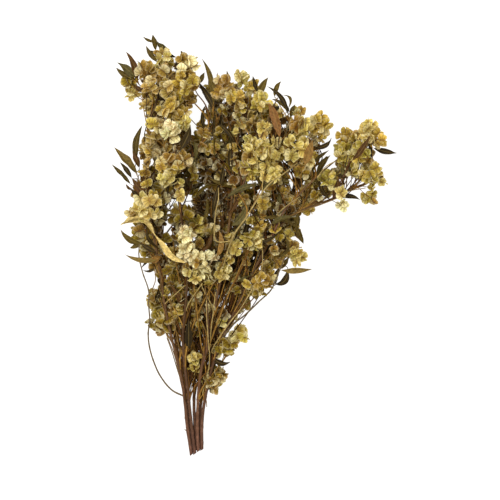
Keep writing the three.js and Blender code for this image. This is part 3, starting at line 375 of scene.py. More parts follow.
# Bare twigs, each by its tone and its bends in the photograph, root first.
bare_twigs = [
    ("tan", [(203, 395, .98), (206, 380, 1.05), (209, 369, 1.2), (210, 355, 1.3), (209, 345, 1.35),
        (208, 330, 1.35), (207, 315, 1.3), (207, 300, 1.2)]),
    ("tan", [(210, 348, 1), (211, 335, 1.2), (212, 325, 1.25), (214, 310, 1.2), (216, 292, 1.05)]),
    ("tan", [(212, 352, .95), (218, 340, 1.1), (232, 320, 1.15), (240, 310, 1.1), (252, 290, 1),
        (262, 270, .85), (263, 245, .8)]),
    ("dark", [(214, 336, .95), (222, 320, 1), (226, 310, 1), (226, 295, .95)]),
    ("tan", [(216, 240, 1.05), (216, 215, 1.1), (219, 200, 1.1), (219, 188, 1.05)]),
    ("tan", [(262, 195, 1), (263, 182, 1.02), (262, 168, 1)]),
    ("tan", [(278, 214, .7), (288, 205, .8), (300, 197, .84)]),
    ("brown", [(290, 216, .6), (305, 210, .68), (320, 205, .66), (340, 197, .6), (350, 191, .55),
        (366, 188, .5)]),
    ("tan", [(318, 177, .72), (326, 167, .72), (336, 161, .68)]),
    ("dark", [(340, 178, .6), (347, 172, .62), (346, 165, .6), (351, 148, .6), (357, 142, .58)]),
    ("dark", [(279, 150, .9), (279, 140, .92), (281, 130, .9), (283, 118, .85), (282, 112, .8)]),
    ("dark", [(148, 146, .72), (145, 138, .8), (148, 124, .85), (157, 100, .8), (160, 90, .75)]),
    ("dark", [(150, 128, .72), (147, 115, .74), (147, 95, .7)]),
    ("dark", [(158, 118, .74), (160, 108, .78), (173, 92, .95)]),
    ("brown", [(155, 300, .8), (153, 290, .85), (156, 280, .9), (155, 267, .9)]),
    ("brown", [(160, 290, .78), (162, 278, .82), (157, 266, .84)]),
    ("tan", [(165, 304, .8), (176, 294, .95), (186, 285, 1)]),
    ("tan", [(186, 312, .85), (190, 302, .95), (203, 283, 1)]),
    ("tan", [(213, 312, .88), (212, 305, .95), (205, 292, 1), (202, 285, 1)]),
    ("brown", [(196, 330, .8), (196, 310, .9), (195, 292, .95)]),
    ("brown", [(180, 350, .9), (176, 330, .9), (172, 312, .88), (170, 296, .8)]),
    ("brown", [(182, 388, .9), (176, 360, .9), (170, 343, .9), (164, 328, .85)]),
    ("brown", [(179, 375, .6), (172, 352, .6), (167, 338, .6)]),
    ("brown", [(187, 432, 1), (184.5, 430.5, 1)]),
    ("brown", [(205, 398, 1), (206.5, 402, 1), (207, 408, 1)]),
]
twig_thick, stalk_thick, bare_thick = (0.0012, 0.0006), (0.00055, 0.0004), (0.0009, 0.00055)  # radii
twig_vary = (0.55, 1.3)  # times that, at random
twig_steps, stalk_steps, bare_steps = 15, 9, 5  # points of a way, and of each stretch of a bare one
twig_sides, bare_sides = 5, 6
twig_wander, stalk_wander = 0.006, 0.01  # as parts of the length
spray_reach, hidden_reach, long_reach = 0.08, 0.06, 0.2  # how far off a twig leaves its stem
fork_before = 0.026  # how far before its heads a twig forks, where it is long enough
long_twig_rows, long_twig_columns = (338, 408), (178, 224)  # where the longest twigs leave the stems
thicket = (165, 262, 190)  # between these columns and below this row long twigs stand close
long_share = 0.55  # of the hidden heads over the thicket
# Hidden capsules fill the bunch inside the flower edge, but not the gaps through which the white shows,
# each by its column, row and radius. The hollow is the dark one in the middle of the bunch, where the
# hidden capsules lie low and are all brown, as painted shade.
flower_edge = [
    (150, 58), (168, 60), (178, 56), (188, 60), (190, 85), (184, 108), (186, 128), (198, 132), (208, 112),
    (222, 92), (240, 86), (258, 96), (276, 108), (292, 118), (318, 122), (322, 138), (312, 160), (326, 180),
    (345, 160), (352, 145), (368, 130), (378, 142), (368, 160), (376, 178), (360, 184), (345, 180),
    (325, 196), (300, 212), (296, 240), (284, 262), (262, 276), (246, 298), (232, 326), (214, 340),
    (198, 332), (186, 336), (172, 322), (160, 312), (150, 300), (151, 285), (150, 262), (142, 240),
    (140, 218), (142, 190), (150, 165), (152, 140), (158, 115), (148, 96), (140, 80)]
clear_spots = [
    (195, 117, 10), (197, 124, 5), (297, 182, 9), (350, 183, 7), (172, 206, 3), (224, 300, 6),
    (149, 280, 4), (167, 227, 3), (187, 202, 4)]
shaded_hollow_edge = [
    (172, 198), (200, 190), (222, 190), (244, 198), (247, 216), (238, 228), (206, 230), (180, 224)]
skirt_edge = [
    (156, 285), (200, 280), (236, 284), (262, 282), (266, 290), (246, 304), (228, 332), (206, 336),
    (176, 334), (158, 318)]
hidden_columns, hidden_rows = (115, 400), (40, 340)
hidden_clear = 5  # pixels from a gap
shaded_hollow_lift = 0.3  # nothing hidden stands higher in the hollow
# Below this lift, a hidden head's fourth choice of tone is brown instead of gold. This is painted shade
# deep in the bunch.
painted_shade_lift = 0.4  # hidden heads above this may be gold
hidden_layers = [  # lifts, pixels between hidden heads, and the line round them
    (0.02, 0.28, 9.5, flower_edge), (0.36, 0.72, 12, flower_edge), (0, 0.25, 7.5, shaded_hollow_edge),
    (0.6, 0.9, 9, skirt_edge)]
covered = {"left": (140, 205), "mid_left": (95, 265), "mid_right": (105, 265)}  # their hidden rows
cover_every, cover_lift = 11.0, 0.09  # pixels between the heads that cover a stem, and how far above
cover_stray = [2.5, 2, 0.02]  # how far they stray across, down and in lift
hidden_radius, hidden_seat = 5.5, 0.006  # pixels, metres
twig_tones = [paint(code) for code in ("#77551f", "#442606", "#5b3b12", "#341d05", "#87652a")]
head_scale = 1.04  # a head's real radius for that of the table
head_seat = 0.62  # how high a head's middle lies over the table, as a part of its radius


def bent(starts, ways, ends, aims, points):
    """Cubic curves between starts and ends that set out along ways and come in along aims, with a
    handle a third of the distance long at either end."""
    reach = np.linalg.norm(ends - starts, axis=-1, keepdims=True) / 3
    knots = np.stack([starts, starts + reach * unit(ways), ends - reach * unit(aims), ends], 1)
    t = np.linspace(0, 1, points)[:, None]
    weights = np.hstack([(1 - t) ** 3, 3 * t * (1 - t) ** 2, 3 * t ** 2 * (1 - t), t ** 3])
    return weights @ knots


def twig(carrier, end, aim, points=twig_steps):
    """The way of one twig: from its place on the bark and along the stem there, then in along aim."""
    return bent(carrier[None, :3], carrier[None, 3:6], end[None], aim[None], points)


def crooked(ways, share):
    """Adds the slow wander of a grown twig: two sines along it with no shift at its ends."""
    t = np.linspace(0, 1, ways.shape[1])[None, :, None]
    length = np.linalg.norm(ways[:, -1] - ways[:, 0], axis=-1)[:, None, None]
    sway = random.normal(0, share, (2, len(ways), 1, 3)) * length
    return ways + sway[0] * np.sin(np.pi * t) * np.sin(2.3 * np.pi * t) + sway[1] * np.sin(3 * np.pi * t)


def rooted(goal, reach, rows=(0, 400), columns=(0, 400)):
    """The place on the bark that a twig to a goal would best leave: about reach off, below the goal
    within some 30 degrees, where twigs leave the bark, and between those rows and columns."""
    off = goal - carriers[:, :3]
    away = np.linalg.norm(off, axis=1)
    row = cut_ends[1] - (carriers[:, 1] + half_box[1]) / pixel
    column = cut_ends[0] + (carriers[:, 0] + half_box[0]) / pixel
    outside = (row < rows[0]) | (row > rows[1]) | (column < columns[0]) | (column > columns[1])
    cost = np.abs(away - reach) + 1.5 * (0.85 * away - off[:, 1]).clip(0)
    cost += 10 * (1 - carriers[:, 6]) + 10 * outside
    return carriers[np.argmin(cost)]


def wood_tint(count):
    """A bark tint for each twig, picked from the five tones and shaded a little."""
    tones = np.array(twig_tones)[random.integers(0, 5, count)]
    tones[:, :3] *= random.uniform(0.75, 1.2, (count, 1))
    return tones[:, None]


def scattered(columns, rows, apart):
    """Spots on a square grid, in pixels, each shifted at random by up to a step across and down."""
    across, down = np.meshgrid(np.arange(*columns, apart), np.arange(*rows, apart))
    return np.stack([across.ravel(), down.ravel()], 1) + random.uniform(0, apart, (across.size, 2))


def inside(spots, edge):
    """Which spots lie inside a closed line: from those an odd number of its sides lie to the right."""
    start = np.array(edge, float)
    end = np.roll(start, -1, 0)
    x, y = spots[:, :1], spots[:, 1:2]
    crossed = (start[:, 1] > y) != (end[:, 1] > y)
    run = (end[:, 0] - start[:, 0]) / np.where(end[:, 1] == start[:, 1], 1, end[:, 1] - start[:, 1])
    return (crossed & (x < start[:, 0] + run * (y - start[:, 1]))).sum(1) % 2 == 1


def clear(spots, margin):
    """Which spots lie that many pixels and more outside every gap through which the white shows."""
    return np.all([np.hypot(*(spots - gap[:2]).T) > gap[2] + margin for gap in clear_spots], 0)


def over_thicket(x, y):
    """Whether long twigs stand below this spot."""
    return thicket[0] < x < thicket[1] and y > thicket[2]


heads = []  # the spray that each belongs to, its place, radius and tone, and the way of its twig
twig_ways, stalk_ways = [], []
for name, rows in spray_table.items():
    reach = np.array([row[3] for row in rows]) * pixel * head_scale
    centres = np.array([place([row[:3]], r * head_seat)[0] for row, r in zip(rows, reach)])
    middle = centres.mean(0)
    root = rooted(middle, spray_reach)
    back = unit(root[:3] - middle)
    forks = len(rows) > 1
    fork = middle + back * min(fork_before, 0.45 * np.linalg.norm(root[:3] - middle)) * forks
    twig_ways.append(twig(root, fork, -back + [0, .6, 0]))  # aims are turned up the bunch a little
    aim = unit(fork - twig_ways[-1][0, -2])
    for centre, radius, row in zip(centres, reach, rows):
        heads.append((name, centre, radius, row[4], unit(centre - fork + 1e-4 * aim)))
        if forks:
            stalk_ways.append(bent(fork[None], aim[None], centre[None], (centre - fork)[None], stalk_steps))
        if over_thicket(*row[:2]):
            start = rooted(centre, long_reach, long_twig_rows, long_twig_columns)
            twig_ways.append(twig(start, centre, centre - start[:3] + [0, .05, 0]))
shown = np.array([head[1] for head in heads])
hidden = []
for low, high, apart, edge in hidden_layers:
    spots = scattered(hidden_columns, hidden_rows, apart)
    keep = inside(spots, edge) & clear(spots, hidden_clear)
    hidden.append(np.column_stack([spots[keep], random.uniform(low, high, keep.sum())]))
for name, (top, bottom) in covered.items():
    stem = np.array(stems[name])[::-1]
    row = np.arange(top, bottom, cover_every)
    over = np.column_stack([np.interp(row, stem[:, 1], stem[:, 0]), row,
                            np.interp(row, stem[:, 1], stem[:, 2]) + cover_lift])
    hidden.append(over + random.normal(0, 1, over.shape) * cover_stray)
for x, y, lift in np.concatenate(hidden):
    deep = inside(np.array([[x, y]]), shaded_hollow_edge)[0]
    if deep and lift > shaded_hollow_lift:
        continue
    centre = place([(x, y, lift)], hidden_seat)[0]
    owner = heads[np.argmin(np.linalg.norm(shown - centre, axis=1))]
    # Low heads take brown where they could take gold, as painted shade.
    tone = random.choice([owner[3], "olive", "brown", "gold" if lift > painted_shade_lift else "brown"])
    if over_thicket(x, y) and random.uniform() < long_share:
        start = rooted(centre, long_reach, long_twig_rows, long_twig_columns)
    else:
        start = rooted(centre, hidden_reach)
    twig_ways.append(twig(start, centre, centre - start[:3] + [0, .02, 0]))
    # Every head in the hollow is brown, as painted shade.
    heads.append((owner[0], centre, hidden_radius * pixel, "brown" if deep else tone,
                  unit(centre - start[:3])))
twig_ways = crooked(np.concatenate(twig_ways), twig_wander)
stalk_ways = crooked(np.concatenate(stalk_ways), stalk_wander)
twig_radii = np.linspace(*twig_thick, twig_steps) * random.uniform(*twig_vary, (len(twig_ways), 1))
stalk_radii = np.linspace(*stalk_thick, stalk_steps)[None]
twig_parts = [rods(twig_ways, twig_radii, twig_sides, wood_tint(len(twig_ways))),
              rods(stalk_ways, stalk_radii, twig_sides, wood_tint(len(stalk_ways)))]
bare_ways = []
for tone, rows in bare_twigs:
    spots = place(rows, stem_seat)
    off = np.linalg.norm(carriers[:, :3] - spots[0], axis=1)
    way = smooth(np.concatenate([carriers[np.argmin(off), None, :3], spots]), bare_steps)
    bare_ways.append(way)
    twig_parts.append(rods(way[None], np.linspace(*bare_thick, len(way))[None], bare_sides,
                           paint(bare_tones[tone])))
make_piece("fine_twigs", twig_parts, [bark])
twig_points = np.concatenate([carriers[:, :3], twig_ways.reshape(-1, 3), stalk_ways.reshape(-1, 3)]
                             + bare_ways)

# Papery capsules: each dried fruit is a small seed body with three, at times four, thin papery wings, 15
# to 20 mm across. A head is a few of them on thread-thin stalks round the end of its twig. The wings
# dried crumpled and veined like tissue. Each is browner towards the seeds, partly in its own colour and
# partly as painted shade where the wings meet, and pale at the rim, partly in its own colour and partly
# as a painted highlight.
capsule_tones = {
    "cream": "#f6edbb", "straw": "#dcc974", "green": "#c9b657", "gold": "#c9ad4e", "tan": "#bda258",
    "amber": "#aa893f", "olive": "#9b8329", "brown": "#6d4f17",
}
# Pale wings are mixed halfway to this tone. They stand partly for faded paper and partly for painted
# highlights.
faded_and_highlight_tone = paint("#f6efc2")[:3]
faded_and_highlight_share = 0.2  # of the wings
odd_share, four_share = 0.13, 0.2  # of the capsules: amber ones in any head, and those of four wings
# A head with a radius of at least the first number, in pixels, has the second number of capsules.
head_sizes = [(14, 11), (12, 9), (11, 8), (10, 7), (9, 6), (8, 5), (7, 4), (6, 3), (0, 2)]
wing_columns = 11
press = 0.004  # capsules this near the table are pressed flat by the bunch's weight
thread_radius, thread_sides, thread_steps = 0.00033, 3, 3


def turned(axes):
    """For each axis two ways square to it and to each other, turned round it at random, and itself."""
    side = unit(np.cross(axes, random.normal(size=axes.shape)))
    return side, np.cross(axes, side), axes


def capsule_wings(centres, axes, sizes, tones, wings):
    """The wings of many capsules, each a round petal. With u from the seeds to the rim and v along the
    rim, the rim lies 0.48 + 0.52 cos 2.5v sizes out from the axis and 0.68 sin 2.5v sizes up it, both
    a little more or less and torn. The seed line lies 0.05 out and 0.37v up, and the petal is straight
    between them. Its turn round the axis changes with u and v, as the comments there say."""
    count = len(centres)
    side, over, axis = (way[:, None, None, None] for way in turned(axes))
    shape = (count, wings, 1, 1)
    u = np.array([0, 0.6, 1])[:, None]
    v = np.linspace(-1, 1, wing_columns)
    broad = random.uniform(0.86, 1.1, shape)
    torn = 1 + 0.07 * np.sin(6.5 * v + random.uniform(0, 6.3, shape)) \
        + random.normal(0, 0.03, (count, wings, 1, wing_columns))
    rim_out = (0.48 + 0.52 * np.cos(2.5 * v)) * broad * torn
    rim_up = 0.68 * np.sin(2.5 * v) * random.uniform(0.88, 1.2, shape) * torn
    out = 0.05 + (rim_out - 0.05) * u
    up = 0.37 * v * (1 - u) + rim_up * u
    angle = 2 * np.pi * np.arange(wings)[None, :, None, None] / wings
    angle = angle + random.normal(0, 0.16, shape) + random.uniform(0, 6.3, (count, 1, 1, 1))
    angle = angle + random.normal(0, 0.45, shape) * u ** 2  # bent aside
    angle = angle + random.normal(0, 0.25, shape) * u * v  # twisted
    angle = angle + random.normal(0, 0.4, shape) * u * (v ** 2 - 0.4)  # cupped
    angle = angle + 0.15 * u ** 1.5 * np.sin(4 * v + random.uniform(0, 6.3, shape))  # waved
    angle = angle + 0.09 * u ** 2 * np.sin(9 * v + random.uniform(0, 6.3, shape))
    angle = angle + random.normal(0, 0.07, (count, wings, 1, wing_columns)) * u  # crumpled
    scale = sizes[:, None, None, None]
    out, up, angle = (out * scale)[..., None], (up * scale)[..., None], angle[..., None]
    points = centres[:, None, None, None] + up * axis + out * (np.cos(angle) * side + np.sin(angle) * over)
    tint = np.ones((*points.shape[:4], 4))
    # Each wing is lighter or darker at random, partly in its own tone and partly as painted light and
    # shade. The pale wings are partly painted highlights.
    shade = random.uniform(0.8, 1.18, (*shape, 1))
    pale = random.uniform(size=(*shape, 1)) < faded_and_highlight_share
    tone = tones[:, None, None, None] * shade
    tint[..., :3] = np.where(pale, 0.5 * (tone + faded_and_highlight_tone), tone)
    tint[..., 3] = u
    return sheets(points, u * scale, v * scale + random.uniform(0, 1, shape), tint)


def seed_bodies(centres, axes, sizes, tones):
    """The swollen body between the wings: half a turn of 0.15 size * sin v out and 0.38 size * cos v
    up, carried round the axis."""
    side, over, axis = (way[:, None, None] for way in turned(axes))
    v = np.linspace(np.pi, 0, 4)[:, None]
    a = np.linspace(0, 2 * np.pi, 5)
    out = (0.15 * np.sin(v) * sizes[:, None, None])[..., None]
    up = (0.38 * np.cos(v) * sizes[:, None, None])[..., None]
    points = centres[:, None, None] + up * axis \
        + out * (np.cos(a)[:, None] * side + np.sin(a)[:, None] * over)
    tint = np.ones((len(centres), 1, 1, 4))
    tint[..., :3] = (tones * [0.3, 0.22, 0.14])[:, None, None]
    return sheets(points, a * 0.002, v * 0.004, tint, slot=1)


def pressed(part):
    """Flattens what would reach under the table: below the height h, z becomes h exp((z - h) / h)."""
    z = part["points"][:, 2]
    part["points"][:, 2] = np.where(z < press, press * np.exp((z - press) / press), z)
    return part


def head_capsules(centre, radius, twig_way):
    """Where a head's capsules sit: spread evenly over a ball by the golden angle, facing outward and
    leaning at random, those on top lying more on their side. Each is a quarter of the radius and
    6.2 mm in size, within limits, and its rim reaches a little out of the head's radius."""
    count = next(n for least, n in head_sizes if radius >= least * pixel - 1e-9)
    k = np.arange(count) + 0.5
    lift, turn = 1 - 2 * k / count, np.pi * (1 + 5 ** 0.5) * k + random.uniform(0, 6.3)
    flat = np.sqrt(1 - lift ** 2)
    outward = np.stack([flat * np.cos(turn), flat * np.sin(turn), lift], -1)
    outward = unit(outward + random.normal(0, 0.22, (count, 3)))
    sizes = np.clip(0.25 * radius + 0.0062, 0.0078, 0.0104) * random.uniform(0.84, 1.12, count)
    seats = centre + outward * (1.22 * radius - 0.84 * sizes)[:, None].clip(0.003)
    axes = outward + 0.5 * twig_way + random.normal(0, 0.45, (count, 3))
    axes[:, 2] *= 0.45
    return seats, unit(axes), sizes


# Dry capsule paper is so thin that about two fifths of the light passes through it. The real net of
# veins is finer than a pixel and is drawn 3.8 mm apart so that it shows. Blotches of brown 3 mm wide
# make each wing look aged. Towards the seeds each wing turns brown, partly its own colour and partly
# painted shade where the wings meet, and its rim is pale, partly its own colour and partly a painted
# highlight.
vein_apart = 0.0038
blotch_size = 0.0032
light_through = 0.42
paper, tree = new_material("dry capsule paper")
surface = add_node(tree, "UVMap", uv_map="surface")["UV"]
body = add_node(tree, "TexCoord")["Object"]
own = add_node(tree, "Attribute", attribute_name="tint")
veins = add_node(tree, "TexWave", {
    "Vector": surface, "Scale": wave_step / vein_apart, "Distortion": 2.4, "Detail": 3.0,
    "Detail Scale": 1.6}, wave_type="BANDS", bands_direction="Y")["Fac"]
blotches = add_node(tree, "TexNoise", {
    "Vector": body, "Scale": 1 / blotch_size, "Detail": 4.0, "Roughness": 0.62})["Fac"]
# Browner towards the seeds: partly the wing's own colour, partly painted shade where the wings meet.
seedward_brown_and_shade = add_node(tree, "MapRange", {
    "Value": own["Alpha"], "From Min": 0.1, "From Max": 0.7, "To Min": 0.85, "To Max": 0.0})[0]
inner = add_node(tree, "VectorMath", {0: own["Color"], 1: (0.57, 0.48, 0.26)}, operation="MULTIPLY")[0]
browned_and_shaded = add_node(tree, "Mix", {0: seedward_brown_and_shade, 6: own["Color"], 7: inner}, data_type="RGBA")[2]
blotched = add_node(tree, "MapRange", {
    "Value": blotches, "From Min": 0.5, "From Max": 0.72, "To Min": 0.0, "To Max": 0.7})[0]
stained = add_node(tree, "Mix", {0: blotched, 6: browned_and_shaded, 7: inner}, data_type="RGBA")[2]
vein_dark = add_node(tree, "MapRange", {
    "Value": veins, "From Min": 0.0, "From Max": 0.5, "To Min": 0.62, "To Max": 1.06})[0]
veined = add_node(tree, "VectorMath", {0: stained, 1: vein_dark}, operation="MULTIPLY")[0]
# Paler at the rim: partly the paper's own pale edge, partly a painted highlight where light catches it.
rim = add_node(tree, "MapRange", {
    "Value": own["Alpha"], "From Min": 0.74, "From Max": 1.0, "To Min": 0.0, "To Max": 0.85})[0]
pale = add_node(tree, "Mix", {0: 0.32, 6: veined, 7: paint("#fbf5dc")}, data_type="RGBA")[2]
rim_paled_and_highlit = add_node(tree, "Mix", {0: rim, 6: veined, 7: pale}, data_type="RGBA")[2]
ribbed = add_node(tree, "Bump", {"Height": veins, "Strength": 0.6, "Distance": 0.0005})[0]
crumpled = add_node(tree, "Bump", {
    "Height": blotches, "Strength": 0.7, "Distance": 0.0012, "Normal": ribbed})[0]
front = add_node(tree, "BsdfPrincipled", {
    "Base Color": rim_paled_and_highlit, "Roughness": 0.62, "IOR": 1.45, "Specular IOR Level": 0.2,
    "Normal": crumpled})[0]
through = add_node(tree, "BsdfTranslucent", {"Color": rim_paled_and_highlit, "Normal": crumpled})[0]
shader = add_node(tree, "MixShader", {0: light_through, 1: front, 2: through})[0]
add_node(tree, "OutputMaterial", {"Surface": shader})

# The seed body and the stalk are dense and dull, with wrinkles 1 mm apart and no light through them.
wrinkle_size = 1 / 900
pod, tree = new_material("dull seed body")
body = add_node(tree, "TexCoord")["Object"]
own = add_node(tree, "Attribute", attribute_name="tint")
mottle = add_node(tree, "TexNoise", {"Vector": body, "Scale": 1 / wrinkle_size, "Detail": 2.0})["Fac"]
mottled = add_node(tree, "MapRange", {"Value": mottle, "To Min": 0.6, "To Max": 1.3})[0]
shaded = add_node(tree, "VectorMath", {0: own["Color"], 1: mottled}, operation="MULTIPLY")[0]
wrinkled = add_node(tree, "Bump", {"Height": mottle, "Strength": 0.5, "Distance": 0.0003})[0]
shader = add_node(tree, "BsdfPrincipled", {
    "Base Color": shaded, "Roughness": 0.6, "IOR": 1.47, "Normal": wrinkled})[0]
add_node(tree, "OutputMaterial", {"Surface": shader})

for name in spray_table:
    by_wings = {3: [], 4: []}
    for owner, centre, radius, tone, twig_way in heads:
        if owner != name:
            continue
        seats, axes, sizes = head_capsules(centre, radius, twig_way)
        tones = np.repeat(paint(capsule_tones[tone])[None, :3], len(seats), 0)
        odd = random.uniform(size=len(seats)) < odd_share
        tones[odd] = paint(capsule_tones["amber"])[:3]
        tones *= random.uniform(0.8, 1.16, (len(seats), 1)) * random.uniform(0.95, 1.05, (len(seats), 3))
        wings = np.where(random.uniform(size=len(seats)) < four_share, 4, 3)
        for number, found in by_wings.items():
            pick = wings == number
            found.append((seats[pick], axes[pick], sizes[pick], tones[pick],
                          np.repeat(centre[None], pick.sum(), 0)))
    parts = []
    for number, found in by_wings.items():
        seats, axes, sizes, tones, centres = (np.concatenate(column) for column in zip(*found))
        if not len(seats):
            continue
        parts.append(pressed(capsule_wings(seats, axes, sizes, tones, number)))
        parts.append(pressed(seed_bodies(seats, axes, sizes, tones)))
        feet = seats - 0.38 * axes * sizes[:, None]
        threads = bent(centres, seats - centres, feet, axes, thread_steps)
        brown = np.append(tones * [0.6, 0.5, 0.45], np.ones((len(tones), 1)), 1)[:, None]
        parts.append(pressed(rods(threads, np.full((1, thread_steps), thread_radius), thread_sides,
                                  brown, slot=1)))
    make_piece(f"{name}_capsules", parts, [paper, pod], [f"spray_{name}"])

# Dry leaves: narrow and leathery, 35 to 70 mm long, on the leafy shoots at the edges and single among the
# capsules, each grown on a short stalk from its twig. They dried dark olive, folded along the midrib and
# twisted, and some turned rust brown or pale tan and curled up.
leaf_tones = {
    "olive": "#463910", "dark": "#281d05", "grey": "#47401f", "brown": "#452c0f", "rust": "#6a4824",
    "moss": "#665427", "tan": "#7a5b2b", "straw": "#b5a065", "gold": "#86692d", "amber": "#6f4f20",
}
# Each leaf has its foot and its tip by column, row and lift, its width and bow in pixels, and its tone.
leaf_table = {
    "top_left": [ (156, 50, .6, 153, 34, .62, 6, 0, "olive"), (155, 42, .62, 143, 36, .6, 3, 1, "olive"),
        (155, 39, .6, 171, 49, .55, 6, -2, "grey"), (158, 62, .6, 146, 45, .6, 5, 1, "olive"),
        (159, 46, .58, 177, 57, .55, 6, -2, "dark"), (162, 56, .5, 150, 50, .5, 4, 0, "dark")],
    "far_left": [ (138, 80, .55, 126, 51, .6, 7, -2, "brown"), (137, 78, .5, 117, 62, .5, 8, -1, "grey"),
        (134, 80, .5, 116, 67, .45, 6, 1, "olive"), (158, 68, .7, 137, 60, .7, 3, 3, "olive"),
        (144, 92, .5, 134, 85, .5, 5, 0, "brown"), (140, 76, .45, 129, 66, .45, 4, 0, "dark"),
        (160, 104, .6, 174, 91, .7, 4, 1, "dark"), (186, 60, .6, 181, 50, .6, 4, 0, "olive")],
    "left": [ (137, 160, .6, 143, 125, .6, 7, 3, "olive"), (140, 168, .6, 133, 148, .6, 6, 0, "brown"),
        (138, 174, .6, 114.5, 147, .6, 9, 0, "moss"), (132, 178, .55, 120, 162, .55, 5, -1, "dark"),
        (131, 184, .5, 112, 164, .5, 5, 0, "olive"), (147, 197, .6, 132, 178, .55, 7, 0, "brown"),
        (152, 192, .6, 139, 168, .6, 6, 1, "brown"), (131, 190, .5, 126, 184, .5, 3, 0, "brown"),
        (150, 206, .5, 130, 187, .5, 6, 1, "dark")],
    "left_low": [ (156, 236, .9, 120, 226, .85, 7, -11, "straw"),
        (147, 219, .93, 121, 225.5, .88, 6, -3, "straw"), (187, 263, .95, 152, 229, .95, 6.5, 5, "straw"),
        (143, 243, .72, 121, 229, .7, 6, 4, "olive"), (142, 242, .72, 130, 248, .7, 5, 1, "olive"),
        (157, 253, .74, 140, 243, .72, 5, 0, "dark"), (162, 257, .75, 125, 254, .72, 6, 5, "moss"),
        (164, 255, .76, 146, 261, .75, 6, 2, "amber"), (142, 268, .76, 158, 258, .76, 3, 2, "dark"),
        (157, 266, .76, 143, 270, .76, 3, 3, "dark"), (158, 278, .7, 168, 284, .65, 6, -2, "dark")],
    "centre_top": [ (216, 114, .62, 196, 79, .6, 6, -2, "dark"),
        (199, 84, .6, 205, 72, .58, 5, 0, "olive"), (214, 106, .64, 202, 58, .6, 6, -4, "olive"),
        (214, 102, .66, 211, 69, .66, 4, 2, "olive"), (206, 130, .5, 207, 104, .5, 4, 4, "dark"),
        (213, 138, .62, 215, 112, .64, 4, 0, "dark"), (219, 92, .7, 218, 72, .7, 5, 0, "amber"),
        (227, 84, .6, 227, 70, .6, 3, -1, "olive"), (223, 134, .5, 221, 114, .5, 5, 0, "dark")],
    "right_top": [ (258, 92, .55, 253, 75, .55, 5, 0, "dark"), (260, 98, .6, 269, 77, .6, 7, 2, "olive"),
        (275, 97, .66, 282, 81, .6, 5, 2, "olive"), (289, 116, .64, 267, 86, .66, 5, -5, "dark"),
        (290, 112, .64, 272, 99, .66, 6, -2, "olive"), (289, 108, .62, 282, 95, .6, 3, -6, "olive"),
        (291, 118, .6, 296, 104, .58, 5, 1, "olive"), (280, 138, .95, 268, 102, .9, 9, -2, "rust"),
        (305, 166, .98, 313, 140, .95, 9, 0, "tan"), (270, 114, .7, 280, 106, .6, 5, 0, "dark"),
        (262, 110, .8, 252, 116, .7, 4, 0, "dark")],
    "right_side": [ (314, 148, .6, 332, 137, .55, 5, -4, "dark"),
        (306, 168, .6, 330, 150, .6, 5, 1, "olive"), (317, 177, .62, 331, 155, .6, 6, 2, "olive"),
        (297, 192, .66, 307, 170, .6, 4, 0, "dark"), (330, 199, .55, 319, 178, .55, 6, 2, "dark"),
        (333, 197, .55, 339, 176, .6, 7, -1, "brown"), (348, 178, .6, 337, 175, .55, 5, 0, "dark"),
        (343, 176, .6, 342, 165, .6, 4, 0, "grey"), (338, 198, .46, 361, 200, .42, 5, 3, "dark"),
        (374, 148, .5, 398, 153, .45, 6, -1, "dark"), (348, 176, .6, 349, 162, .6, 5, 0, "dark"),
        (298, 212, .58, 297, 230, .5, 6, 0, "olive"), (297, 226, .5, 304, 244, .45, 6, 0, "olive"),
        (262, 218, .75, 298, 229, .55, 5, 5, "olive"), (281, 270, .66, 313, 269, .6, 6, -1, "moss"),
        (288, 269, .62, 274, 284, .55, 7, 6, "dark"), (300, 200, .6, 290, 190, .55, 4, 0, "dark")],
    "heart": [ (240, 286, .6, 255, 262, .5, 8, 1, "olive"), (236, 275, .4, 238, 256, .4, 7, 0, "dark"),
        (262, 243, .5, 264, 230, .5, 4, 0, "dark"), (213, 357, .9, 231, 362, .85, 6, -4, "dark"),
        (189, 350, .9, 189, 318, .95, 8, 0, "dark"), (180, 151, .95, 191, 125, .9, 8, -2, "dark"),
        (186, 192, .7, 182, 172, .7, 7, -1, "dark"), (193, 160, .6, 194, 146, .6, 5, 0, "dark"),
        (232, 226, .9, 249, 203, .85, 8, -3, "grey"), (227, 198, .9, 262, 184, .9, 6, 3, "grey"),
        (262, 190, .88, 281, 178, .85, 4, 1, "grey"), (217, 257, .98, 219, 230, .95, 6, -4, "tan"),
        (196, 200, .5, 222, 184, .7, 4, 6, "olive"), (235, 258, .5, 229, 250, .5, 5, 0, "dark"),
        (213, 368, .6, 217, 352, .6, 6, 0, "dark"), (249, 150, .6, 243, 138, .6, 5, 0, "dark"),
        (262, 141, .8, 254, 145, .8, 5, 0, "dark"), (281, 269, .55, 290, 256, .5, 5, 0, "olive"),
        (276, 284, .6, 280, 267, .6, 6, 1, "dark")],
}
# The leafy part of each shoot's twig, from its lower to its upper end.
shoot_axes = {
    "top_left": [(160, 64, .6), (155, 46, .6)],
    "far_left": [(146, 92, .55), (134, 78, .5)],
    "left": [(147, 196, .6), (135, 170, .58)],
    "left_low": [(158, 262, .74), (142, 243, .72)],
    "centre_top": [(214, 122, .62), (212, 88, .64)],
    "right_top": [(290, 122, .64), (276, 98, .66)],
}
curled_tones = ("straw", "gold", "amber")  # leaves that curled as they dried
curled_loose, inner_loose, plain_loose = 0.7, 0.5, 0.3  # how far the blades twist, fold and wave
leaf_seat = 0.002
shoot_thick, leaf_stalk_thick = (0.0009, 0.0005), (0.0006, 0.0005)  # radii
shoot_reach, shoot_steps = 0.05, (12, 10)  # how far off its stem, and points below and along the leaves
stalk_back, leaf_stalk_steps = 0.15, 8
blade_rows, blade_columns = 15, 7


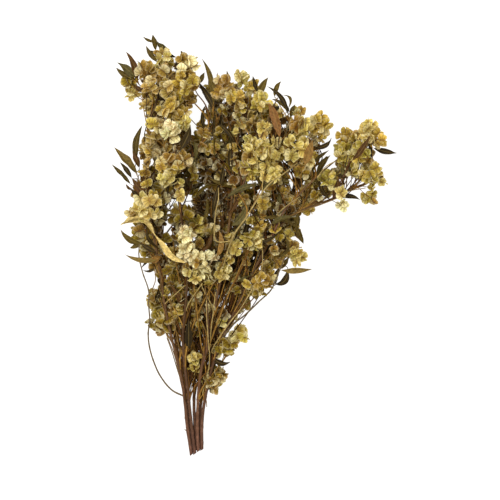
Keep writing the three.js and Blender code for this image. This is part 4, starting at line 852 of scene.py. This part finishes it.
def leaf_blades(feet, tips, widths, bows, tones, loose):
    """Leaf blades along ways that bow aside and arch up as 4t(1 - t) does. With t from foot to tip and
    s across from -1 to 1, half the width is half of widths times (sin(pi t^0.85))^1.1. The halves
    fold up from the midrib by a part of |s|, roll under at the edges by s^4 and wave along t, and the
    blade turns about its midrib as it goes."""
    count = len(feet)
    t = np.linspace(0, 1, blade_rows)
    along = tips - feet
    flat = unit(np.cross(along, [0.0, 0.0, 1.0]))
    over = unit(np.cross(flat, along))
    length = np.linalg.norm(along, axis=1)[:, None, None]
    arch = random.uniform(0.03, 0.12, (count, 1, 1)) * length
    hump = (4 * t * (1 - t))[None, :, None]
    way = feet[:, None] + along[:, None] * t[None, :, None] - flat[:, None] * bows[:, None, None] * hump \
        + over[:, None] * arch * hump
    ahead = unit(np.gradient(way, axis=1))
    side = unit(np.cross(ahead, over[:, None]))
    upward = np.cross(side, ahead)
    turn = loose * (random.normal(0, 1, (count, 1)) + random.normal(0, 1.4, (count, 1)) * (t - 0.3)
                    + 0.7 * np.sin(7 * t + random.uniform(0, 6.3, (count, 1))))
    turn = turn[..., None]
    side, upward = side * np.cos(turn) + upward * np.sin(turn), upward * np.cos(turn) - side * np.sin(turn)
    s = np.linspace(-1, 1, blade_columns)
    t = t[:, None]
    half = (np.sin(np.pi * t ** 0.85).clip(0) ** 1.1 * 0.5) * widths[:, None, None]
    wave = 0.16 * np.sin(9 * t + random.uniform(0, 6, (count, 1, 1))) * s \
        + 0.12 * np.sin(19 * t + 2 * s + random.uniform(0, 6, (count, 1, 1)))
    fold = (random.uniform(0.15, 0.5, (count, 1)) + 0.8 * loose)[..., None] * np.abs(s)
    fold = fold - 0.25 * s ** 4 + wave
    points = way[:, :, None] + half[..., None] * (s[:, None] * side[:, :, None]
                                                  + fold[..., None] * upward[:, :, None])
    tint = np.ones((*points.shape[:3], 4))
    tint[..., :3] = tones[:, None, None]
    tint[..., 3] = 1 - np.abs(s)
    return sheets(points, s * half, t * length, tint)


def leaf_stalks(feet, tips, near, back):
    """Short curved stalks to the feet of blades, each from the point that lies nearest to its foot, or
    to a spot some way back from it, as a part of the blade's length."""
    away = np.linalg.norm(near[None] - (feet - back * (tips - feet))[:, None], axis=2)
    roots = near[np.argmin(away, 1)]
    ways = bent(roots, feet - roots + [0, .001, 0], feet, tips - feet, leaf_stalk_steps)
    radii = np.linspace(*leaf_stalk_thick, leaf_stalk_steps)[None]
    return rods(ways, radii, twig_sides, wood_tint(len(feet)), slot=1)


# Dry leaf skin is leathery and half matt, with a pale midrib, an edge that is paler partly in its own
# colour and partly as a painted highlight, side veins that reach the edge 6 mm apart, and dark spots
# 4 mm apart.
rib_wide = 0.16
side_vein_apart = 0.006
spot_apart = 0.004
leaf_skin, tree = new_material("dry leathery leaf")
surface = add_node(tree, "UVMap", uv_map="surface")["UV"]
body = add_node(tree, "TexCoord")["Object"]
own = add_node(tree, "Attribute", attribute_name="tint")
spots = add_node(tree, "TexNoise", {
    "Vector": body, "Scale": 1 / spot_apart, "Detail": 5.0, "Roughness": 0.65})["Fac"]
side_veins = add_node(tree, "TexWave", {  # diagonal bands are twice as far apart along an axis
    "Vector": surface, "Scale": 2 * wave_step / side_vein_apart, "Distortion": 2.5, "Detail": 2.0},
    wave_type="BANDS", bands_direction="DIAGONAL")["Fac"]
spotted = add_node(tree, "MapRange", {
    "Value": spots, "From Min": 0.35, "From Max": 0.65, "To Min": 0.62, "To Max": 1.3})[0]
veined = add_node(tree, "MapRange", {"Value": side_veins, "To Min": 0.85, "To Max": 1.08})[0]
shaded = add_node(tree, "VectorMath", {0: own["Color"], 1: spotted}, operation="MULTIPLY")[0]
shaded = add_node(tree, "VectorMath", {0: shaded, 1: veined}, operation="MULTIPLY")[0]
rib = add_node(tree, "MapRange", {
    "Value": own["Alpha"], "From Min": 1 - rib_wide, "From Max": 1.0, "To Min": 0.0, "To Max": 0.4})[0]
ribbed = add_node(tree, "Mix", {0: rib, 6: shaded, 7: paint("#7d6a38")}, data_type="RGBA")[2]
# The edge is up to a third lighter: partly the leaf's own paler margin, partly a painted highlight.
rim = add_node(tree, "MapRange", {
    "Value": own["Alpha"], "From Min": 0.0, "From Max": 0.22, "To Min": 1.35, "To Max": 1.0})[0]
ribbed = add_node(tree, "VectorMath", {0: ribbed, 1: rim}, operation="MULTIPLY")[0]
raised = add_node(tree, "Bump", {"Height": side_veins, "Strength": 0.35, "Distance": 0.0003})[0]
raised = add_node(tree, "Bump", {
    "Height": spots, "Strength": 0.5, "Distance": 0.001, "Normal": raised})[0]
shader = add_node(tree, "BsdfPrincipled", {
    "Base Color": ribbed, "Roughness": 0.62, "IOR": 1.45, "Specular IOR Level": 0.15,
    "Normal": raised})[0]
add_node(tree, "OutputMaterial", {"Surface": shader})

for name, rows in leaf_table.items():
    feet = place([row[:3] for row in rows], leaf_seat)
    tips = place([row[3:6] for row in rows], leaf_seat)
    widths, bows = np.array([row[6:8] for row in rows]).T * pixel
    tones = np.array([paint(leaf_tones[row[8]])[:3] for row in rows])
    tones *= random.uniform(0.82, 1.2, (len(rows), 1))
    loose = np.array([[curled_loose if row[8] in curled_tones else plain_loose] for row in rows])
    parts = [leaf_blades(feet, tips, widths, bows, tones, loose)]
    near, nodes = twig_points, []
    if name in shoot_axes:
        low, high = place(shoot_axes[name], leaf_seat)
        root = rooted(low, shoot_reach)
        axis_way = np.concatenate([twig(root, low, high - low, shoot_steps[0])[0, :-1],
                                   np.linspace(low, high, shoot_steps[1])])
        parts.append(rods(axis_way[None], np.linspace(*shoot_thick, len(axis_way))[None], bare_sides,
                          wood_tint(1), slot=1))
        near, nodes = np.concatenate([near, axis_way]), [f"shoot_{name}"]
    parts.append(leaf_stalks(feet, tips, near, stalk_back))
    make_piece(f"{name}_leaves", parts, [leaf_skin, bark], nodes)

# Inner leaves stand deep among the capsules, where the photograph shows only dark slivers of them. Each
# grows from the nearest twig and points outward along the fan. Their mostly dark tones are partly the
# leaves' own and partly painted shade.
inner_columns, inner_rows = (115, 396), (60, 350)
inner_apart, inner_clear = 15, 6  # pixels between them, and from a gap
inner_long, inner_wide, inner_bow = (18, 36), (4, 6), 3  # pixels
inner_lifts = (0.1, 0.82)
# Mostly dark: partly the leaves' own tones, partly painted shade deep in the bunch.
inner_dark_and_shade_tones = ["dark", "dark", "olive", "brown", "grey"]
foot_spots = scattered(inner_columns, inner_rows, inner_apart)
count = len(foot_spots)
fan = np.arctan2(foot_spots[:, 0] - cut_ends[0], cut_ends[1] - foot_spots[:, 1])
fan = fan + random.normal(0, 0.5, count)
tip_spots = foot_spots + random.uniform(*inner_long, (count, 1)) * np.stack([np.sin(fan), -np.cos(fan)], 1)
lifts = random.uniform(*inner_lifts, (count, 1))
keep = inside(foot_spots, flower_edge) & inside(tip_spots, flower_edge)
keep &= clear((foot_spots + tip_spots) / 2, inner_clear)
feet = place(np.hstack([foot_spots, lifts])[keep], leaf_seat)
tips = place(np.hstack([tip_spots, lifts + random.normal(0, 0.04, (count, 1))])[keep], leaf_seat)
tones = np.array([paint(leaf_tones[tone])[:3] for tone in random.choice(inner_dark_and_shade_tones, len(feet))])
widths = random.uniform(*inner_wide, len(feet)) * pixel
bows = random.normal(0, inner_bow, len(feet)) * pixel
blades = leaf_blades(feet, tips, widths, bows, tones, np.full((len(feet), 1), inner_loose))
stalks = leaf_stalks(feet, tips, twig_points, 0)
make_piece("inner_leaves", [blades, stalks], [leaf_skin, bark])

# Table, light and camera: a plain pale table, a key light and a wide soft fill light over the bunch, and
# a camera that looks straight down on it, so far off that a pixel is 1.4 mm at the height of its middle.
table_half = 40.0
table_mesh = bpy.data.meshes.new("pale_table")
table_mesh.from_pydata([(-table_half, -table_half, 0), (table_half, -table_half, 0),
                        (table_half, table_half, 0), (-table_half, table_half, 0)], [], [(0, 1, 2, 3)])
table = add_object("pale_table", table_mesh)
table_top, tree = new_material("matt white table")
shader = add_node(tree, "BsdfPrincipled", {
    "Base Color": paint("#6e6d6b"), "Roughness": 0.9, "Emission Color": (1, 1, 1, 1),
    "Emission Strength": 0.97})[0]
add_node(tree, "OutputMaterial", {"Surface": shader})
table_mesh.materials.append(table_top)

world = bpy.data.worlds.new("soft_room")
world.use_nodes = True
room = world.node_tree.nodes["Background"].inputs
room["Color"].default_value = (1, 0.93, 0.77, 1)
room["Strength"].default_value = 0.93
bpy.context.scene.world = world

for name, spot, size, watts in (("key_light", (-0.9, 0.8, 2.4), 0.9, 62),
                                ("fill_light", (1.5, -0.8, 2.4), 2.0, 20)):
    lamp = bpy.data.lights.new(name, "AREA")
    lamp.size, lamp.energy = size, watts
    light = add_object(name, lamp)
    light.location = spot
    light.rotation_euler = (-Vector(spot)).to_track_quat("-Z", "Y").to_euler()

view_middle = (-0.0064, -0.0096)  # the photograph's middle, in the frame of the bunch
view_height = 0.065
lens, sensor = 500.0, 36.0
photo_width = 500 * pixel
camera_data = bpy.data.cameras.new("camera")
camera_data.lens, camera_data.sensor_width = lens, sensor
camera_data.clip_end = 80.0
camera = add_object("camera", camera_data)
camera.location = (*view_middle, view_height + photo_width * lens / sensor)
bpy.context.scene.camera = camera
bpy.context.scene.view_settings.view_transform = "Standard"
